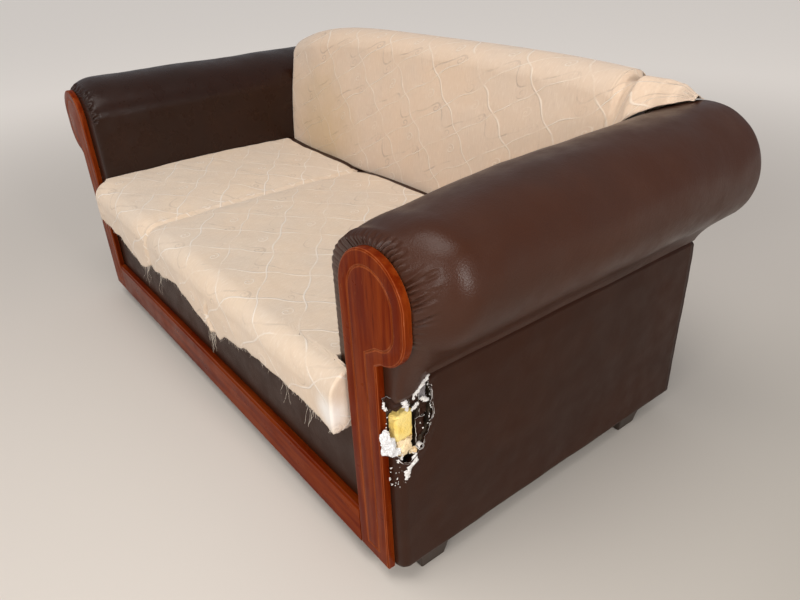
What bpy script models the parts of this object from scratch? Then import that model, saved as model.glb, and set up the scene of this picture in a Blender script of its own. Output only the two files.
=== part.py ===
"""A worn three-seat sofa with rolled arms, built piece by piece as an upholsterer builds one.

Metres, +Z up. +X runs along the sofa to the right of someone who faces it, +Y runs to its back,
and the feet stand on z = 0. Depths are counted from the front plane of the two arm facings, and
an empty carries the whole sofa so that its middle lies over the origin.
"""
import math

import bmesh
import bpy
from mathutils import Vector

# Driving dimensions
OPENING_WIDTH = 1.44          # between the two facings
FIT = 0.0003                  # clearance between pieces that touch

FOOT_HEIGHT = 0.0457
FOOT_WIDTH = 0.075
FOOT_TAPER = 0.008            # each side of the sole stands in by this much
FOOT_EDGE = 0.008             # how far a foot stands in from the side panel
FRONT_FOOT_Y = 0.104
REAR_FOOT_IN = 0.137          # from the rear foot's middle to the panel's rear edge
DUST_COVER_THICKNESS = 0.0017
DUST_COVER_INSET = 0.020

FACING_THICKNESS = 0.016
FACING_BOTTOM = 0.043
POST_WIDTH = 0.090
NECK_HEIGHT = 0.514
HEAD_RADIUS = 0.0845
HEAD_CENTRE_HEIGHT = 0.6295
CHIN_RADIUS = 0.0745
CHIN_DROP = 0.0315            # the chin arc's centre lies this far under the head arc's
LINE_INSET = 0.025            # the routed line follows the outline at this distance
LINE_WIDTH = 0.004
LINE_DEPTH = 0.0022
FACING_ARRIS = 0.003          # width of the eased front edge
FACING_ARRIS_DEPTH = 0.0018

RAIL_HEIGHT = 0.0945
RAIL_THICKNESS = 0.018
RAIL_STEP = 0.010             # the routed step along the rail's upper edge
RAIL_STEP_DEPTH = 0.003

BOARD = 0.022
FRONT_BOARD = 0.025
POST_BOARD = 0.037
POST_DEPTH = 0.040
STRETCHER_HEIGHT = 0.11
SIDE_RAIL_HEIGHT = 0.124
ARM_RAIL_HEIGHT = 0.022
ARM_RAIL_TOP = 0.619
SKIN = 0.0032                 # imitation leather with its backing

SIDE_PANEL_OUT = 0.115        # side panel's outer face, from the facing's inner edge
SIDE_PANEL_THICKNESS = 0.0268
HARDBOARD = 0.003
PANEL_SEAM_HEIGHT = 0.4705
PANEL_REAR = 0.877
PANEL_FRONT_ROUND = 0.019
PANEL_BOTTOM_ROUND = 0.012

ARM_OVERHANG = 0.052          # the arm's inner face stands this far inside the facing
ARM_LEG_THICKNESS = 0.0767
ARM_LEG_SWELL = 0.18          # share of the gathers' length in which the inner face comes out
ROLL_CENTRE_OUT = 0.102       # roll centre, from the facing's inner edge
ROLL_OUTER_HALF = 0.127       # from the roll's centre to its outermost side
LEFT_ROLL_CENTRE = 0.637      # the left arm's padding has sunk more than the right arm's
LEFT_ROLL_RISE = 0.105
RIGHT_ROLL_CENTRE = 0.650
RIGHT_ROLL_RISE = 0.124
ROLL_OVER_REAR = 0.012        # the roll's end stands out this far behind the panel's rear edge
ROLL_END_ROUND = 0.026
ROLL_SEAM_STAND = 0.003       # the roll's cover stands out over the side panel at their seam
ROLL_HOLLOW_OUT = 0.010       # the hollow under the roll bends round this point, from the seam
ROLL_HOLLOW_UP = 0.040
PLEATS = 20
PLEAT_DEPTH = 0.0035
GATHER_LENGTH = 0.085

SEAT_SIDE_GAP = 0.003         # between the cushions and the arms
SEAT_REAR_GAP = 0.0065        # between the cushions and the backrest
SEAT_SEAM_HEIGHT = 0.424      # the seat dips to this height between two cushions
SEAT_OVER_BASE = 0.090        # from the base boards' upper edge to that dip
SEAT_CROWN = 0.018
SEAT_BOW = 0.006              # the seat's top arches by this much from front to rear
SEAT_ARM_RISE = 0.012         # beside the arms the seat stands this much higher than its crown
SEAT_FLARE = 0.048            # the seat's front corners spread this far, in front of the arms
SEAT_FLARE_START = -0.010
SEAT_FLARE_END = 0.016
SEAT_TURN = 4                 # the point of the seat's section where its front begins to turn down
SEAT_FRONT = -0.030           # the cushions bulge in front of the facings
SEAT_FRONT_DIP = 0.010        # between two cushions the front lies this much further back
SEAT_FRONT_TUCK = 0.003
SEAT_FRONT_ROUND = 0.050
CUSHION_GAP = 0.001
CLOTH = 0.002
CLOTH_GAP = 0.0006
CLOTH_WELT = 0.003            # the seam between the two panels is raised by this much
CUSHION_TOE = 0.012           # the cushion's lower front edge is eased off by this much

SPRING_COUNT = 5
SPRING_WIRE = 0.004
SPRING_HALF_WIDTH = 0.024
SPRING_WAVES = 8
DECK_THICKNESS = 0.003

BACK_DEPTH = 0.1715           # from the backrest's front, at the seat, to the panel's rear edge
BACK_LEAN = 0.034
BACK_BOW = 0.006              # the backrest's front is hollow by this much
BACK_TOP = 0.848
LEFT_SHOULDER_DROP = 0.058
RIGHT_SHOULDER_DROP = 0.030
BACK_TOP_ROUND = 0.058
BACK_FRAME_IN = 0.087         # from the back frame's front to the panel's rear edge
BACK_RAIL_DROP = 0.136        # the back frame's top rail lies this far under the backrest's top
BACK_RAIL_HEIGHT = 0.060
BACK_SIDE_GAP = 0.002
STRAP_HEIGHT = 0.050
STRAP_THICKNESS = 0.002
STRAP_COUNT = 3
BACK_CLOTH_HANG = 0.040       # behind the sofa the cloth's hem hangs this far under the top rail
EAR_REACH = 0.150             # how far the cloth's loose corner lies over the right arm
EAR_POINTS = range(2, 11)     # the points of the cloth's right end that the corner grows from

TORN_BLOCK_FRONT = 0.018      # front of the foam that shows in the tear
TORN_BLOCK_DEPTH = 0.038
TORN_BLOCK_TOP = 0.0385       # below the panel's seam
TORN_BLOCK_HEIGHT = 0.072
TORN_LOWER_HEIGHT = 0.0315
TORN_FLAP_THICKNESS = 0.0012
TORN_FOAM_GROWTH = 1.04       # the hole is this much larger in the foam sheet than in the skin
WADDING_HALF_SIZE = (0.0115, 0.014, 0.019)

# Places that follow from the driving dimensions
INNER = OPENING_WIDTH / 2
POST_OUT = INNER + POST_WIDTH
SIDE_X = INNER + SIDE_PANEL_OUT
BODY_BOTTOM = FOOT_HEIGHT + DUST_COVER_THICKNESS + 2 * FIT
BASE_TOP = SEAT_SEAM_HEIGHT - SEAT_OVER_BASE
BACK_RAIL_TOP = BACK_TOP - BACK_RAIL_DROP
BACK_FRAME_Y = PANEL_REAR - BACK_FRAME_IN
BACK_FOOT_Y = PANEL_REAR - BACK_DEPTH
REAR_FOOT_Y = PANEL_REAR - REAR_FOOT_IN
ROLL_REAR = PANEL_REAR + ROLL_OVER_REAR
SEAT_REAR = BACK_FOOT_Y - SEAT_REAR_GAP
SEAT_SEAM = -OPENING_WIDTH / 6        # between the two cloth panels, and between two cushions
LEG_INNER = INNER - ARM_OVERHANG
LEG_OUTER = LEG_INNER + ARM_LEG_THICKNESS
FRAME_POST_X = LEG_OUTER + FIT
SIDE_RAIL_X = FRAME_POST_X + POST_BOARD + FIT
HARDBOARD_X = SIDE_RAIL_X + BOARD + FIT
PADDING_X = SIDE_X - SIDE_PANEL_THICKNESS
ROLL_X = INNER + ROLL_CENTRE_OUT
TORN_X = HARDBOARD_X + HARDBOARD + FIT
HEAD_X = INNER + HEAD_RADIUS
BEHIND_FACING = FACING_THICKNESS + FIT
FASCIA_Y = RAIL_THICKNESS + FIT
FRONT_BOARD_Y = FASCIA_Y + SKIN + FIT
REAR_SKIN_Y = PANEL_REAR - SKIN
REAR_BOARD_Y = REAR_SKIN_Y - FIT - FRONT_BOARD
SPRING_Z = BASE_TOP + FIT
DECK_Z = SPRING_Z + SPRING_WIRE + FIT
CUSHION_Z = DECK_Z + DECK_THICKNESS + FIT
LEG_BOTTOM = BASE_TOP + FIT
SEAT_END = LEG_INNER - SEAT_SIDE_GAP
BACK_END = LEG_INNER - BACK_SIDE_GAP
CUSHION_EDGES = (-SEAT_END, SEAT_SEAM, -SEAT_SEAM, SEAT_END)
FRONT_MOST = SEAT_FRONT - CLOTH_GAP - CLOTH
MIDDLE_Y = (FRONT_MOST + ROLL_REAR) / 2


def clear_scene():
    for old in list(bpy.data.objects):
        bpy.data.objects.remove(old, do_unlink=True)


def material(name, colour, roughness, coat=0.0):
    made = bpy.data.materials.new(name)
    made.use_nodes = True
    shader = made.node_tree.nodes["Principled BSDF"]
    shader.inputs["Base Color"].default_value = (*colour, 1.0)
    shader.inputs["Roughness"].default_value = roughness
    shader.inputs["Metallic"].default_value = 0.0
    shader.inputs["Coat Weight"].default_value = coat
    made.diffuse_color = (*colour, 1.0)
    return made


def wire_material(name, colour):
    made = material(name, colour, 0.4)
    made.node_tree.nodes["Principled BSDF"].inputs["Metallic"].default_value = 0.9
    return made


def add_object(name, bm, finish, smooth_angle=35.0):
    """Turn a bmesh into a named object, carried by the sofa's empty."""
    bmesh.ops.recalc_face_normals(bm, faces=bm.faces)
    mesh = bpy.data.meshes.new(name)
    bm.to_mesh(mesh)
    bm.free()
    mesh.shade_smooth()
    mesh.set_sharp_from_angle(angle=math.radians(smooth_angle))
    obj = bpy.data.objects.new(name, mesh)
    bpy.context.collection.objects.link(obj)
    obj.parent = SOFA
    if finish:
        obj.data.materials.append(finish)
    return obj


def box_mesh(low, high):
    bm = bmesh.new()
    bmesh.ops.create_cube(bm, size=1.0)
    low, high = Vector(low), Vector(high)
    size = high - low
    middle = (high + low) / 2
    bmesh.ops.scale(bm, vec=size, verts=bm.verts)
    bmesh.ops.translate(bm, vec=middle, verts=bm.verts)
    return bm


def board(name, low, high, finish):
    return add_object(name, box_mesh(low, high), finish)


def side_board(name, side, low, high, finish):
    """A board given for the right-hand side, or mirrored to the left."""
    xs = sorted((side * low[0], side * high[0]))
    return board(name, (xs[0], low[1], low[2]), (xs[1], high[1], high[2]), finish)


def cutter(name, low, high):
    made = add_object(name, box_mesh(low, high), None)
    made.hide_render = True
    made.display_type = "WIRE"
    return made


def cut(target, tool):
    change = target.modifiers.new("cut " + tool.name, "BOOLEAN")
    change.operation = "DIFFERENCE"
    change.object = tool


def join_rows(bm, rows):
    """Quads between each closed row of points and the next."""
    for near, far in zip(rows, rows[1:]):
        for i in range(len(near)):
            j = (i + 1) % len(near)
            bm.faces.new((near[i], near[j], far[j], far[i]))


def loft(rings):
    """Join closed rings of equal length by quads and cap both ends."""
    bm = bmesh.new()
    rows = [[bm.verts.new(p) for p in ring] for ring in rings]
    join_rows(bm, rows)
    bm.faces.new(rows[0])
    bm.faces.new(reversed(rows[-1]))
    return bm


def arc(centre, radii, start, end, count):
    """Points on an ellipse, from one angle to another in degrees, both included."""
    points = []
    for i in range(count):
        a = math.radians(start + (end - start) * i / (count - 1))
        points.append((centre[0] + radii[0] * math.cos(a), centre[1] + radii[1] * math.sin(a)))
    return points


def bezier(a, b, c, count):
    """Points on a quadratic curve after its first point, up to its last."""
    points = []
    for i in range(1, count + 1):
        t = i / count
        points.append(tuple((1 - t) ** 2 * p + 2 * t * (1 - t) * q + t * t * r for p, q, r in zip(a, b, c)))
    return points


def smoothstep(t):
    t = min(max(t, 0.0), 1.0)
    return t * t * (3 - 2 * t)


def offset_line(points, distance):
    """Move an open line of (y, z) points sideways, to the left of its direction."""
    moved = []
    for i, p in enumerate(points):
        before = points[max(i - 1, 0)]
        after = points[min(i + 1, len(points) - 1)]
        dy, dz = after[0] - before[0], after[1] - before[1]
        length = math.hypot(dy, dz)
        moved.append((p[0] - dz / length * distance, p[1] + dy / length * distance))
    return moved


def between(table, x):
    """Read a height from a short table of (x, height), smoothly in between."""
    for (x0, h0), (x1, h1) in zip(table, table[1:]):
        if x <= x1:
            return h0 + (h1 - h0) * smoothstep((x - x0) / (x1 - x0))
    return table[-1][1]


def facing_outline():
    """The facing's outline in (x, z): a straight post with a head that leans outwards."""
    points = [(POST_OUT, FACING_BOTTOM), (INNER, FACING_BOTTOM)]
    points += arc((HEAD_X, HEAD_CENTRE_HEIGHT), (HEAD_RADIUS, HEAD_RADIUS), 180, 10, 22)
    chin = (INNER + 2 * HEAD_RADIUS - CHIN_RADIUS, HEAD_CENTRE_HEIGHT - CHIN_DROP)
    points += arc(chin, (CHIN_RADIUS, CHIN_RADIUS), -4, -82, 10)
    points.append((POST_OUT, NECK_HEIGHT))
    return points


def make_facing(name, side):
    bm = bmesh.new()
    outline = facing_outline()
    front = bm.faces.new([bm.verts.new((side * x, 0.0, z)) for x, z in outline])
    bmesh.ops.recalc_face_normals(bm, faces=[front])
    if front.normal.y > 0:
        front.normal_flip()
    back = bmesh.ops.extrude_face_region(bm, geom=[front])
    moved = [v for v in back["geom"] if isinstance(v, bmesh.types.BMVert)]
    bmesh.ops.translate(bm, vec=(0, FACING_THICKNESS, 0), verts=moved)
    front = min(bm.faces, key=lambda f: f.calc_center_median().y)
    bmesh.ops.recalc_face_normals(bm, faces=bm.faces)
    arris = bmesh.ops.inset_region(bm, faces=[front], thickness=FACING_ARRIS, use_even_offset=True)
    rim = {v for f in arris["faces"] for v in f.verts} - set(front.verts)
    bmesh.ops.translate(bm, vec=(0, FACING_ARRIS_DEPTH, 0), verts=list(rim))
    bmesh.ops.inset_region(bm, faces=[front], thickness=LINE_INSET - FACING_ARRIS, use_even_offset=True)
    bmesh.ops.inset_region(bm, faces=[front], thickness=LINE_WIDTH / 2, use_even_offset=True)
    bmesh.ops.translate(bm, vec=(0, LINE_DEPTH, 0), verts=list(front.verts))
    bmesh.ops.inset_region(bm, faces=[front], thickness=LINE_WIDTH / 2, use_even_offset=True)
    bmesh.ops.translate(bm, vec=(0, -LINE_DEPTH, 0), verts=list(front.verts))
    return add_object(name, bm, LACQUER)


def make_front_rail():
    """The rail between the facings, its upper edge routed to a lower step."""
    half = INNER - FIT
    top = FACING_BOTTOM + RAIL_HEIGHT
    step = top - RAIL_STEP
    profile = [(0.0, FACING_BOTTOM), (0.0, step), (RAIL_STEP_DEPTH, step + RAIL_STEP_DEPTH),
               (RAIL_STEP_DEPTH, top), (RAIL_THICKNESS, top), (RAIL_THICKNESS, FACING_BOTTOM)]
    rings = [[(x, y, z) for y, z in profile] for x in (-half, half)]
    return add_object("front_rail", loft(rings), LACQUER)


def roll_outline(side, leg_grown, grown, inset, ripple):
    """One section of an arm, in (x, z): leg, roll and underside, from the leg's foot round to it.

    grown goes from 0, drawn in round the facing, to 1, the full roll, and leg_grown does the
    same for the arm's inner face.
    """
    centre, rise = (LEFT_ROLL_CENTRE, LEFT_ROLL_RISE) if side < 0 else (RIGHT_ROLL_CENTRE, RIGHT_ROLL_RISE)
    leg_x = INNER - leg_grown * ARM_OVERHANG + inset
    cx = HEAD_X + (ROLL_X - HEAD_X) * grown
    cz = HEAD_CENTRE_HEIGHT + (centre - HEAD_CENTRE_HEIGHT) * grown
    outer = HEAD_RADIUS + (ROLL_OUTER_HALF - HEAD_RADIUS) * grown - inset
    rz = HEAD_RADIUS + (rise - HEAD_RADIUS) * grown - inset
    count = 4 * PLEATS
    sweep = 222               # degrees that the section turns, from the leg over the top to the underside
    points = [(leg_x, LEG_BOTTOM), (leg_x, (LEG_BOTTOM + cz) / 2)]
    for i in range(count + 1):
        share = i / count
        a = math.radians(180 - sweep * share)
        swell = ripple * math.cos(2 * math.pi * PLEATS * share) * smoothstep(4 * share)
        rx = cx - leg_x if math.cos(a) < 0 else outer
        points.append((cx + (rx + swell) * math.cos(a), cz + (rz + swell) * math.sin(a)))
    seam = (SIDE_X + ROLL_SEAM_STAND - inset, PANEL_SEAM_HEIGHT + FIT)
    points += bezier(points[-1], (seam[0] + ROLL_HOLLOW_OUT, seam[1] + ROLL_HOLLOW_UP), seam, 4)
    points += [(FRAME_POST_X + POST_BOARD, seam[1]), (LEG_OUTER, seam[1]), (LEG_OUTER, LEG_BOTTOM)]
    return points


def make_arm_roll(name, side):
    """The padded arm: a leg beside the seat and a roll above, gathered in at the facing."""
    stations = [(BEHIND_FACING, 0.0, 0.0, 0.004, 0.0)]
    for share, grown, ripple in ((0.07, 0.20, 0.7), (0.22, 0.48, 1.0), (0.5, 0.80, 0.7), (1.0, 1.0, 0.0)):
        leg_grown = smoothstep(share / ARM_LEG_SWELL)
        stations.append((BEHIND_FACING + GATHER_LENGTH * share, leg_grown, grown, 0.0, PLEAT_DEPTH * ripple))
    for angle in (0, 35, 65, 90):
        a = math.radians(angle)
        y = ROLL_REAR - ROLL_END_ROUND * (1 - math.sin(a))
        stations.append((y, 1.0, 1.0, ROLL_END_ROUND * (1 - math.cos(a)), 0.0))
    rings = []
    for y, leg_grown, grown, inset, ripple in stations:
        rings.append([(side * x, y, z) for x, z in roll_outline(side, leg_grown, grown, inset, ripple)])
    roll = add_object(name, loft(rings), LEATHER)
    xs = sorted((side * LEG_OUTER, side * (FRAME_POST_X + POST_BOARD + FIT)))
    slot = cutter(name + "_slot", (xs[0], -0.02, LEG_BOTTOM - 0.02),
                  (xs[1], REAR_BOARD_Y + FIT, ARM_RAIL_TOP + FIT))
    xs = sorted((side * (LEG_INNER - 0.05), side * (LEG_OUTER + 0.01)))
    trim = cutter(name + "_trim", (xs[0], REAR_SKIN_Y - FIT, LEG_BOTTOM - 0.02),
                  (xs[1], ROLL_REAR + 0.05, PANEL_SEAM_HEIGHT + FIT))
    cut(roll, slot)
    cut(roll, trim)
    return roll


def panel_block(side, inset):
    """The rounded block of a side panel, for the skin's outside or, inset, for its foam sheet."""
    low = (PADDING_X, BEHIND_FACING + inset, BODY_BOTTOM + inset)
    high = (SIDE_X - inset, PANEL_REAR - inset, PANEL_SEAM_HEIGHT - inset)
    bm = box_mesh(low, high)

    def edges_where(test):
        return [e for e in bm.edges if all(test(v.co) for v in e.verts)]

    near = 1e-5
    upright = edges_where(lambda p: abs(p.x - high[0]) < near and abs(p.y - low[1]) < near)
    bmesh.ops.bevel(bm, geom=upright, offset=PANEL_FRONT_ROUND - inset, segments=5, profile=0.5,
                    affect="EDGES", material=-1)
    lower = [e for e in bm.edges
             if all(abs(v.co.z - low[2]) < near and v.co.x > low[0] + near for v in e.verts)]
    bmesh.ops.bevel(bm, geom=lower, offset=PANEL_BOTTOM_ROUND - inset, segments=3, profile=0.5,
                    affect="EDGES", material=-1)
    bmesh.ops.scale(bm, vec=(side, 1, 1), verts=bm.verts)
    bmesh.ops.recalc_face_normals(bm, faces=bm.faces)
    return bm


def make_side_skin(name, side):
    """Skin of the side panel: the block's outside, open towards the frame."""
    bm = panel_block(side, 0.0)
    open_side = [f for f in bm.faces if all(abs(abs(v.co.x) - PADDING_X) < 1e-5 for v in f.verts)]
    bmesh.ops.delete(bm, geom=open_side, context="FACES")
    bmesh.ops.solidify(bm, geom=bm.faces[:], thickness=SKIN)
    return add_object(name, bm, LEATHER)


def torn_outline():
    """Edge of the tear in (y, z), round the front top corner of the right side panel."""
    ragged = [(-0.020, -0.0415), (-0.020, 0.1065), (0.020, 0.1285), (0.032, 0.1585), (0.044, 0.1965),
              (0.049, 0.1585), (0.063, 0.1365), (0.074, 0.1135), (0.086, 0.1005), (0.089, 0.0785),
              (0.093, 0.0515), (0.088, 0.0265), (0.090, 0.0065), (0.088, -0.0415)]
    return [(y, PANEL_SEAM_HEIGHT - drop) for y, drop in ragged]


def tear_cutter(name, first, grow):
    """A closed ragged prism through the side panel, from x = first outwards."""
    bm = bmesh.new()
    outline = torn_outline()
    middle = [sum(p[i] for p in outline) / len(outline) for i in (0, 1)]
    face = bm.faces.new([bm.verts.new((first, middle[0] + (y - middle[0]) * grow,
                                       middle[1] + (z - middle[1]) * grow)) for y, z in outline])
    out = bmesh.ops.extrude_face_region(bm, geom=[face])
    moved = [v for v in out["geom"] if isinstance(v, bmesh.types.BMVert)]
    bmesh.ops.translate(bm, vec=(2 * SIDE_PANEL_THICKNESS, 0, 0), verts=moved)
    made = add_object(name, bm, None)
    made.hide_render = True
    made.display_type = "WIRE"
    return made


def seat_swell(x, bridged):
    """How full the seat is at x, and how near to an arm, both from 0 to 1.

    bridged is for cloth that spans the dip between the middle and the right cushion.
    """
    for low, high in zip(CUSHION_EDGES, CUSHION_EDGES[1:]):
        if x <= high:
            break
    across = (2 * x - low - high) / (high - low)
    by_arm = (low == CUSHION_EDGES[0] and across < 0) or (high == CUSHION_EDGES[-1] and across > 0)
    spanned = bridged and 0 < x < (CUSHION_EDGES[2] + CUSHION_EDGES[3]) / 2
    fullness = 1.0 if by_arm or spanned else 1 - across ** 4
    return fullness, across ** 2 if by_arm else 0.0


def seat_line(x, bridged):
    """The seat's section in (y, z), from the rear edge over the top and down the front."""
    fullness, arm = seat_swell(x, bridged)
    top = SEAT_SEAM_HEIGHT + SEAT_CROWN * fullness + SEAT_ARM_RISE * arm
    front = SEAT_FRONT + SEAT_FRONT_DIP * (1 - fullness)
    line = []
    for share in (0.0, 0.12, 0.35, 0.65):
        y = SEAT_REAR + (front + SEAT_FRONT_ROUND - SEAT_REAR) * share
        line.append((y, top + SEAT_BOW * math.sin(math.pi * share)))
    line += arc((front + SEAT_FRONT_ROUND, top - SEAT_FRONT_ROUND), (SEAT_FRONT_ROUND, SEAT_FRONT_ROUND),
                90, 180, 6)
    return line


def cushion_stations(low, high):
    """Where a cushion and the cloth on it take their sections: closer together near its two sides."""
    shares = (0.0, 0.03, 0.06, 0.15, 0.25, 0.38, 0.5, 0.62, 0.75, 0.85, 0.94, 0.97, 1.0)
    return [low + (high - low) * share for share in shares]


def flared(x, y):
    """The seat's front corners spread outwards, in front of the arms."""
    outermost = smoothstep((abs(x) / SEAT_END - 0.6) / 0.4)
    forward = 1 - smoothstep((y - SEAT_FLARE_START) / (SEAT_FLARE_END - SEAT_FLARE_START))
    return x + math.copysign(SEAT_FLARE * outermost * forward, x)


def make_cushion(name, low, high):
    """A foam seat cushion in its cover, crowned between its seams and rounded at the front."""
    bm = bmesh.new()
    rows = []
    for x in cushion_stations(low, high):
        line = seat_line(x, False)
        front = line[-1][0]
        section = line + [(front + SEAT_FRONT_TUCK, CUSHION_Z + CUSHION_TOE),
                          (front + SEAT_FRONT_TUCK + CUSHION_TOE, CUSHION_Z),
                          (line[SEAT_TURN][0], CUSHION_Z), (SEAT_REAR, CUSHION_Z)]
        rows.append([bm.verts.new((flared(x, y), y, z)) for y, z in section])
    join_rows(bm, rows)
    for row in (rows[0], rows[-1]):
        bm.faces.new(row[SEAT_TURN:-1])
        bm.faces.new(row[:SEAT_TURN + 1] + row[-2:])
    return add_object(name, bm, LEATHER)


def hem_height(x):
    """Height of the ragged hem along the front, with its lower lobes."""
    lobes = ((-0.70, 0.060), (-0.50, 0.086), (-0.285, 0.124), (-0.225, 0.100), (-0.02, 0.078),
             (0.17, 0.120), (0.225, 0.118), (0.275, 0.098), (0.42, 0.072), (0.70, 0.070))
    jag = 0.0025 * math.sin(97 * x) + 0.0018 * math.sin(61 * x + 1.0)
    return SEAT_SEAM_HEIGHT - between(lobes, x) + jag


def cloth_stations(edges):
    """The sections of the cushions under a cloth panel."""
    stations = []
    for low, high in zip(edges, edges[1:]):
        stations += cushion_stations(low + CUSHION_GAP / 2, high - CUSHION_GAP / 2)
    return stations


def make_seat_cloth(name, edges):
    """A panel of the loose seat cloth, lying on the cushions and hanging over their front."""
    rings = []
    for x in cloth_stations(edges):
        line = seat_line(x, True)
        front = line[-1][0]
        hem = hem_height(x)
        bend = line[-1][1]
        slope = SEAT_FRONT_TUCK / (bend - CUSHION_Z - CUSHION_TOE)
        for z in ((bend + hem) / 2, hem):
            line.append((front + slope * (bend - z), z))
        welt = CLOTH_WELT if abs(x - SEAT_SEAM) < CUSHION_GAP else 0.0
        inner = offset_line(line, -CLOTH_GAP)
        outer = offset_line(line, -CLOTH_GAP - CLOTH - welt)
        rings.append([(flared(x, y), y, z) for y, z in outer + inner[::-1]])
    return add_object(name, loft(rings), CREAM_CLOTH)


def spring_path():
    """A zig-zag spring's centre line in (x, y), with flat turns."""
    start, end = FRONT_BOARD_Y + FRONT_BOARD / 3, REAR_BOARD_Y + FRONT_BOARD / 2
    step = (end - start) / (2 * SPRING_WAVES)
    flat = step * 0.3
    path = [(0.0, start)]
    for i in range(2 * SPRING_WAVES):
        reach = SPRING_HALF_WIDTH if i % 2 else -SPRING_HALF_WIDTH
        y = start + step * (i + 0.5)
        path += [(reach, y - flat / 2), (reach, y + flat / 2)]
    path.append((0.0, end))
    return path


def make_spring(name, x):
    path = spring_path()
    left = offset_line(path, SPRING_WIRE / 2)
    right = offset_line(path, -SPRING_WIRE / 2)
    rings = []
    for (lx, ly), (rx, ry) in zip(left, right):
        rings.append([(x + lx, ly, SPRING_Z), (x + rx, ry, SPRING_Z),
                      (x + rx, ry, SPRING_Z + SPRING_WIRE), (x + lx, ly, SPRING_Z + SPRING_WIRE)])
    return add_object(name, loft(rings), SPRING_STEEL)


def back_line(x):
    """The backrest's outside in (y, z), from the seat up the front, over the top and down behind."""
    across = x / BACK_END
    top = BACK_TOP - (RIGHT_SHOULDER_DROP if x > 0 else LEFT_SHOULDER_DROP) * across ** 4
    radius = BACK_TOP_ROUND
    rear = REAR_SKIN_Y - FIT
    front_top = BACK_FOOT_Y + BACK_LEAN
    line = [(BACK_FOOT_Y, CUSHION_Z), (BACK_FOOT_Y, SEAT_SEAM_HEIGHT)]
    for share in (0.35, 0.7):
        z = SEAT_SEAM_HEIGHT + (top - radius - SEAT_SEAM_HEIGHT) * share
        line.append((BACK_FOOT_Y + BACK_LEAN * share - BACK_BOW * math.sin(math.pi * share), z))
    middle = (front_top + rear) / 2
    line += arc((middle, top - radius), (middle - front_top, radius), 180, 90, 6)
    line += arc((middle, top - radius), (rear - middle, radius), 72, 0, 5)
    return line


def back_stations():
    """Where the backrest and its cloth take their sections: closer together at the shoulders."""
    shares = (0.0, 0.2, 0.4, 0.58, 0.74, 0.88, 1.0)
    return [-BACK_END * s for s in shares[:0:-1]] + [BACK_END * s for s in shares]


def make_backrest():
    """The padded back: it leans on the back frame and folds over its top rail."""
    rings = []
    for x in back_stations():
        line = back_line(x)
        seat_on_rail = BACK_RAIL_TOP + FIT
        section = line + [(REAR_SKIN_Y - FIT, seat_on_rail), (BACK_FRAME_Y - FIT, seat_on_rail),
                          (BACK_FRAME_Y - FIT, CUSHION_Z)]
        rings.append([(x, y, z) for y, z in section])
    return add_object("backrest_pad", loft(rings), LEATHER)


def back_cloth_ring(x, line):
    inner = offset_line(line, CLOTH_GAP)
    outer = offset_line(line, CLOTH_GAP + CLOTH)
    return [(x, y, z) for y, z in outer + inner[::-1]]


def ear_rings():
    """Sections of the cloth's loose corner: it climbs the right arm roll, then lifts off to its tip."""
    rings = []
    for share, back, lift, ridge in ((0.07, 0.0115, 0.002, 0.0), (0.25, 0.0125, 0.001, 0.001),
                                     (0.6, 0.0325, 0.0, 0.010), (0.82, 0.0845, 0.018, 0.016),
                                     (1.0, 0.1345, 0.020, 0.019)):
        x = BACK_END + EAR_REACH * share
        over = (ROLL_X - x) / (ROLL_X - LEG_INNER)
        on_roll = RIGHT_ROLL_CENTRE + RIGHT_ROLL_RISE * math.sqrt(1 - over * over) + 3 * CLOTH
        top = BACK_TOP - RIGHT_SHOULDER_DROP - ridge
        start = (BACK_FOOT_Y + back, on_roll + lift)
        end = (REAR_SKIN_Y - 0.006, top - 0.012)
        bend = (start[0] + (end[0] - start[0]) * 0.35, 2 * top - (start[1] + end[1]) / 2)
        line = [start] + bezier(start, bend, end, len(EAR_POINTS) - 1)
        rings.append(back_cloth_ring(x, line))
    return rings


def make_back_cloth():
    """The loose cloth over the backrest, with its right corner lying up on the arm."""
    bm = bmesh.new()
    rows = []
    for x in back_stations():
        line = back_line(x)[1:]
        hang = BACK_RAIL_TOP - BACK_CLOTH_HANG + 0.008 * math.sin(7 * x)
        line += [(PANEL_REAR + FIT, BACK_RAIL_TOP + 0.006), (PANEL_REAR + FIT, hang)]
        rows.append([bm.verts.new(p) for p in back_cloth_ring(x, line)])
    join_rows(bm, rows)
    bm.faces.new(rows[0])
    end = rows[-1]
    last = len(end) - 1
    for i in range(len(end) // 2 - 1):
        if i not in EAR_POINTS[:-1]:
            bm.faces.new((end[i], end[i + 1], end[last - i - 1], end[last - i]))
    root = [end[i] for i in EAR_POINTS] + [end[last - i] for i in reversed(EAR_POINTS)]
    ear = [root] + [[bm.verts.new(p) for p in ring] for ring in ear_rings()]
    join_rows(bm, ear)
    bm.faces.new(ear[-1])
    return add_object("back_cloth", bm, CREAM_CLOTH)


def make_foot(name, side, y):
    outer = SIDE_X - FOOT_EDGE
    low = (outer - FOOT_WIDTH, y - FOOT_WIDTH / 2, 0.0)
    high = (outer, y + FOOT_WIDTH / 2, FOOT_HEIGHT)
    bm = box_mesh(low, high)
    sole = [v for v in bm.verts if v.co.z < FOOT_HEIGHT / 2]
    centre = Vector((outer - FOOT_WIDTH / 2, y, 0))
    shrink = 1 - 2 * FOOT_TAPER / FOOT_WIDTH
    bmesh.ops.translate(bm, vec=-centre, verts=sole)
    bmesh.ops.scale(bm, vec=(shrink, shrink, 1), verts=sole)
    bmesh.ops.translate(bm, vec=centre, verts=sole)
    bmesh.ops.scale(bm, vec=(side, 1, 1), verts=bm.verts)
    bmesh.ops.bevel(bm, geom=bm.edges[:], offset=0.002, segments=1, profile=0.5, affect="EDGES", material=-1)
    return add_object(name, bm, DARK_WOOD)


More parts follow.
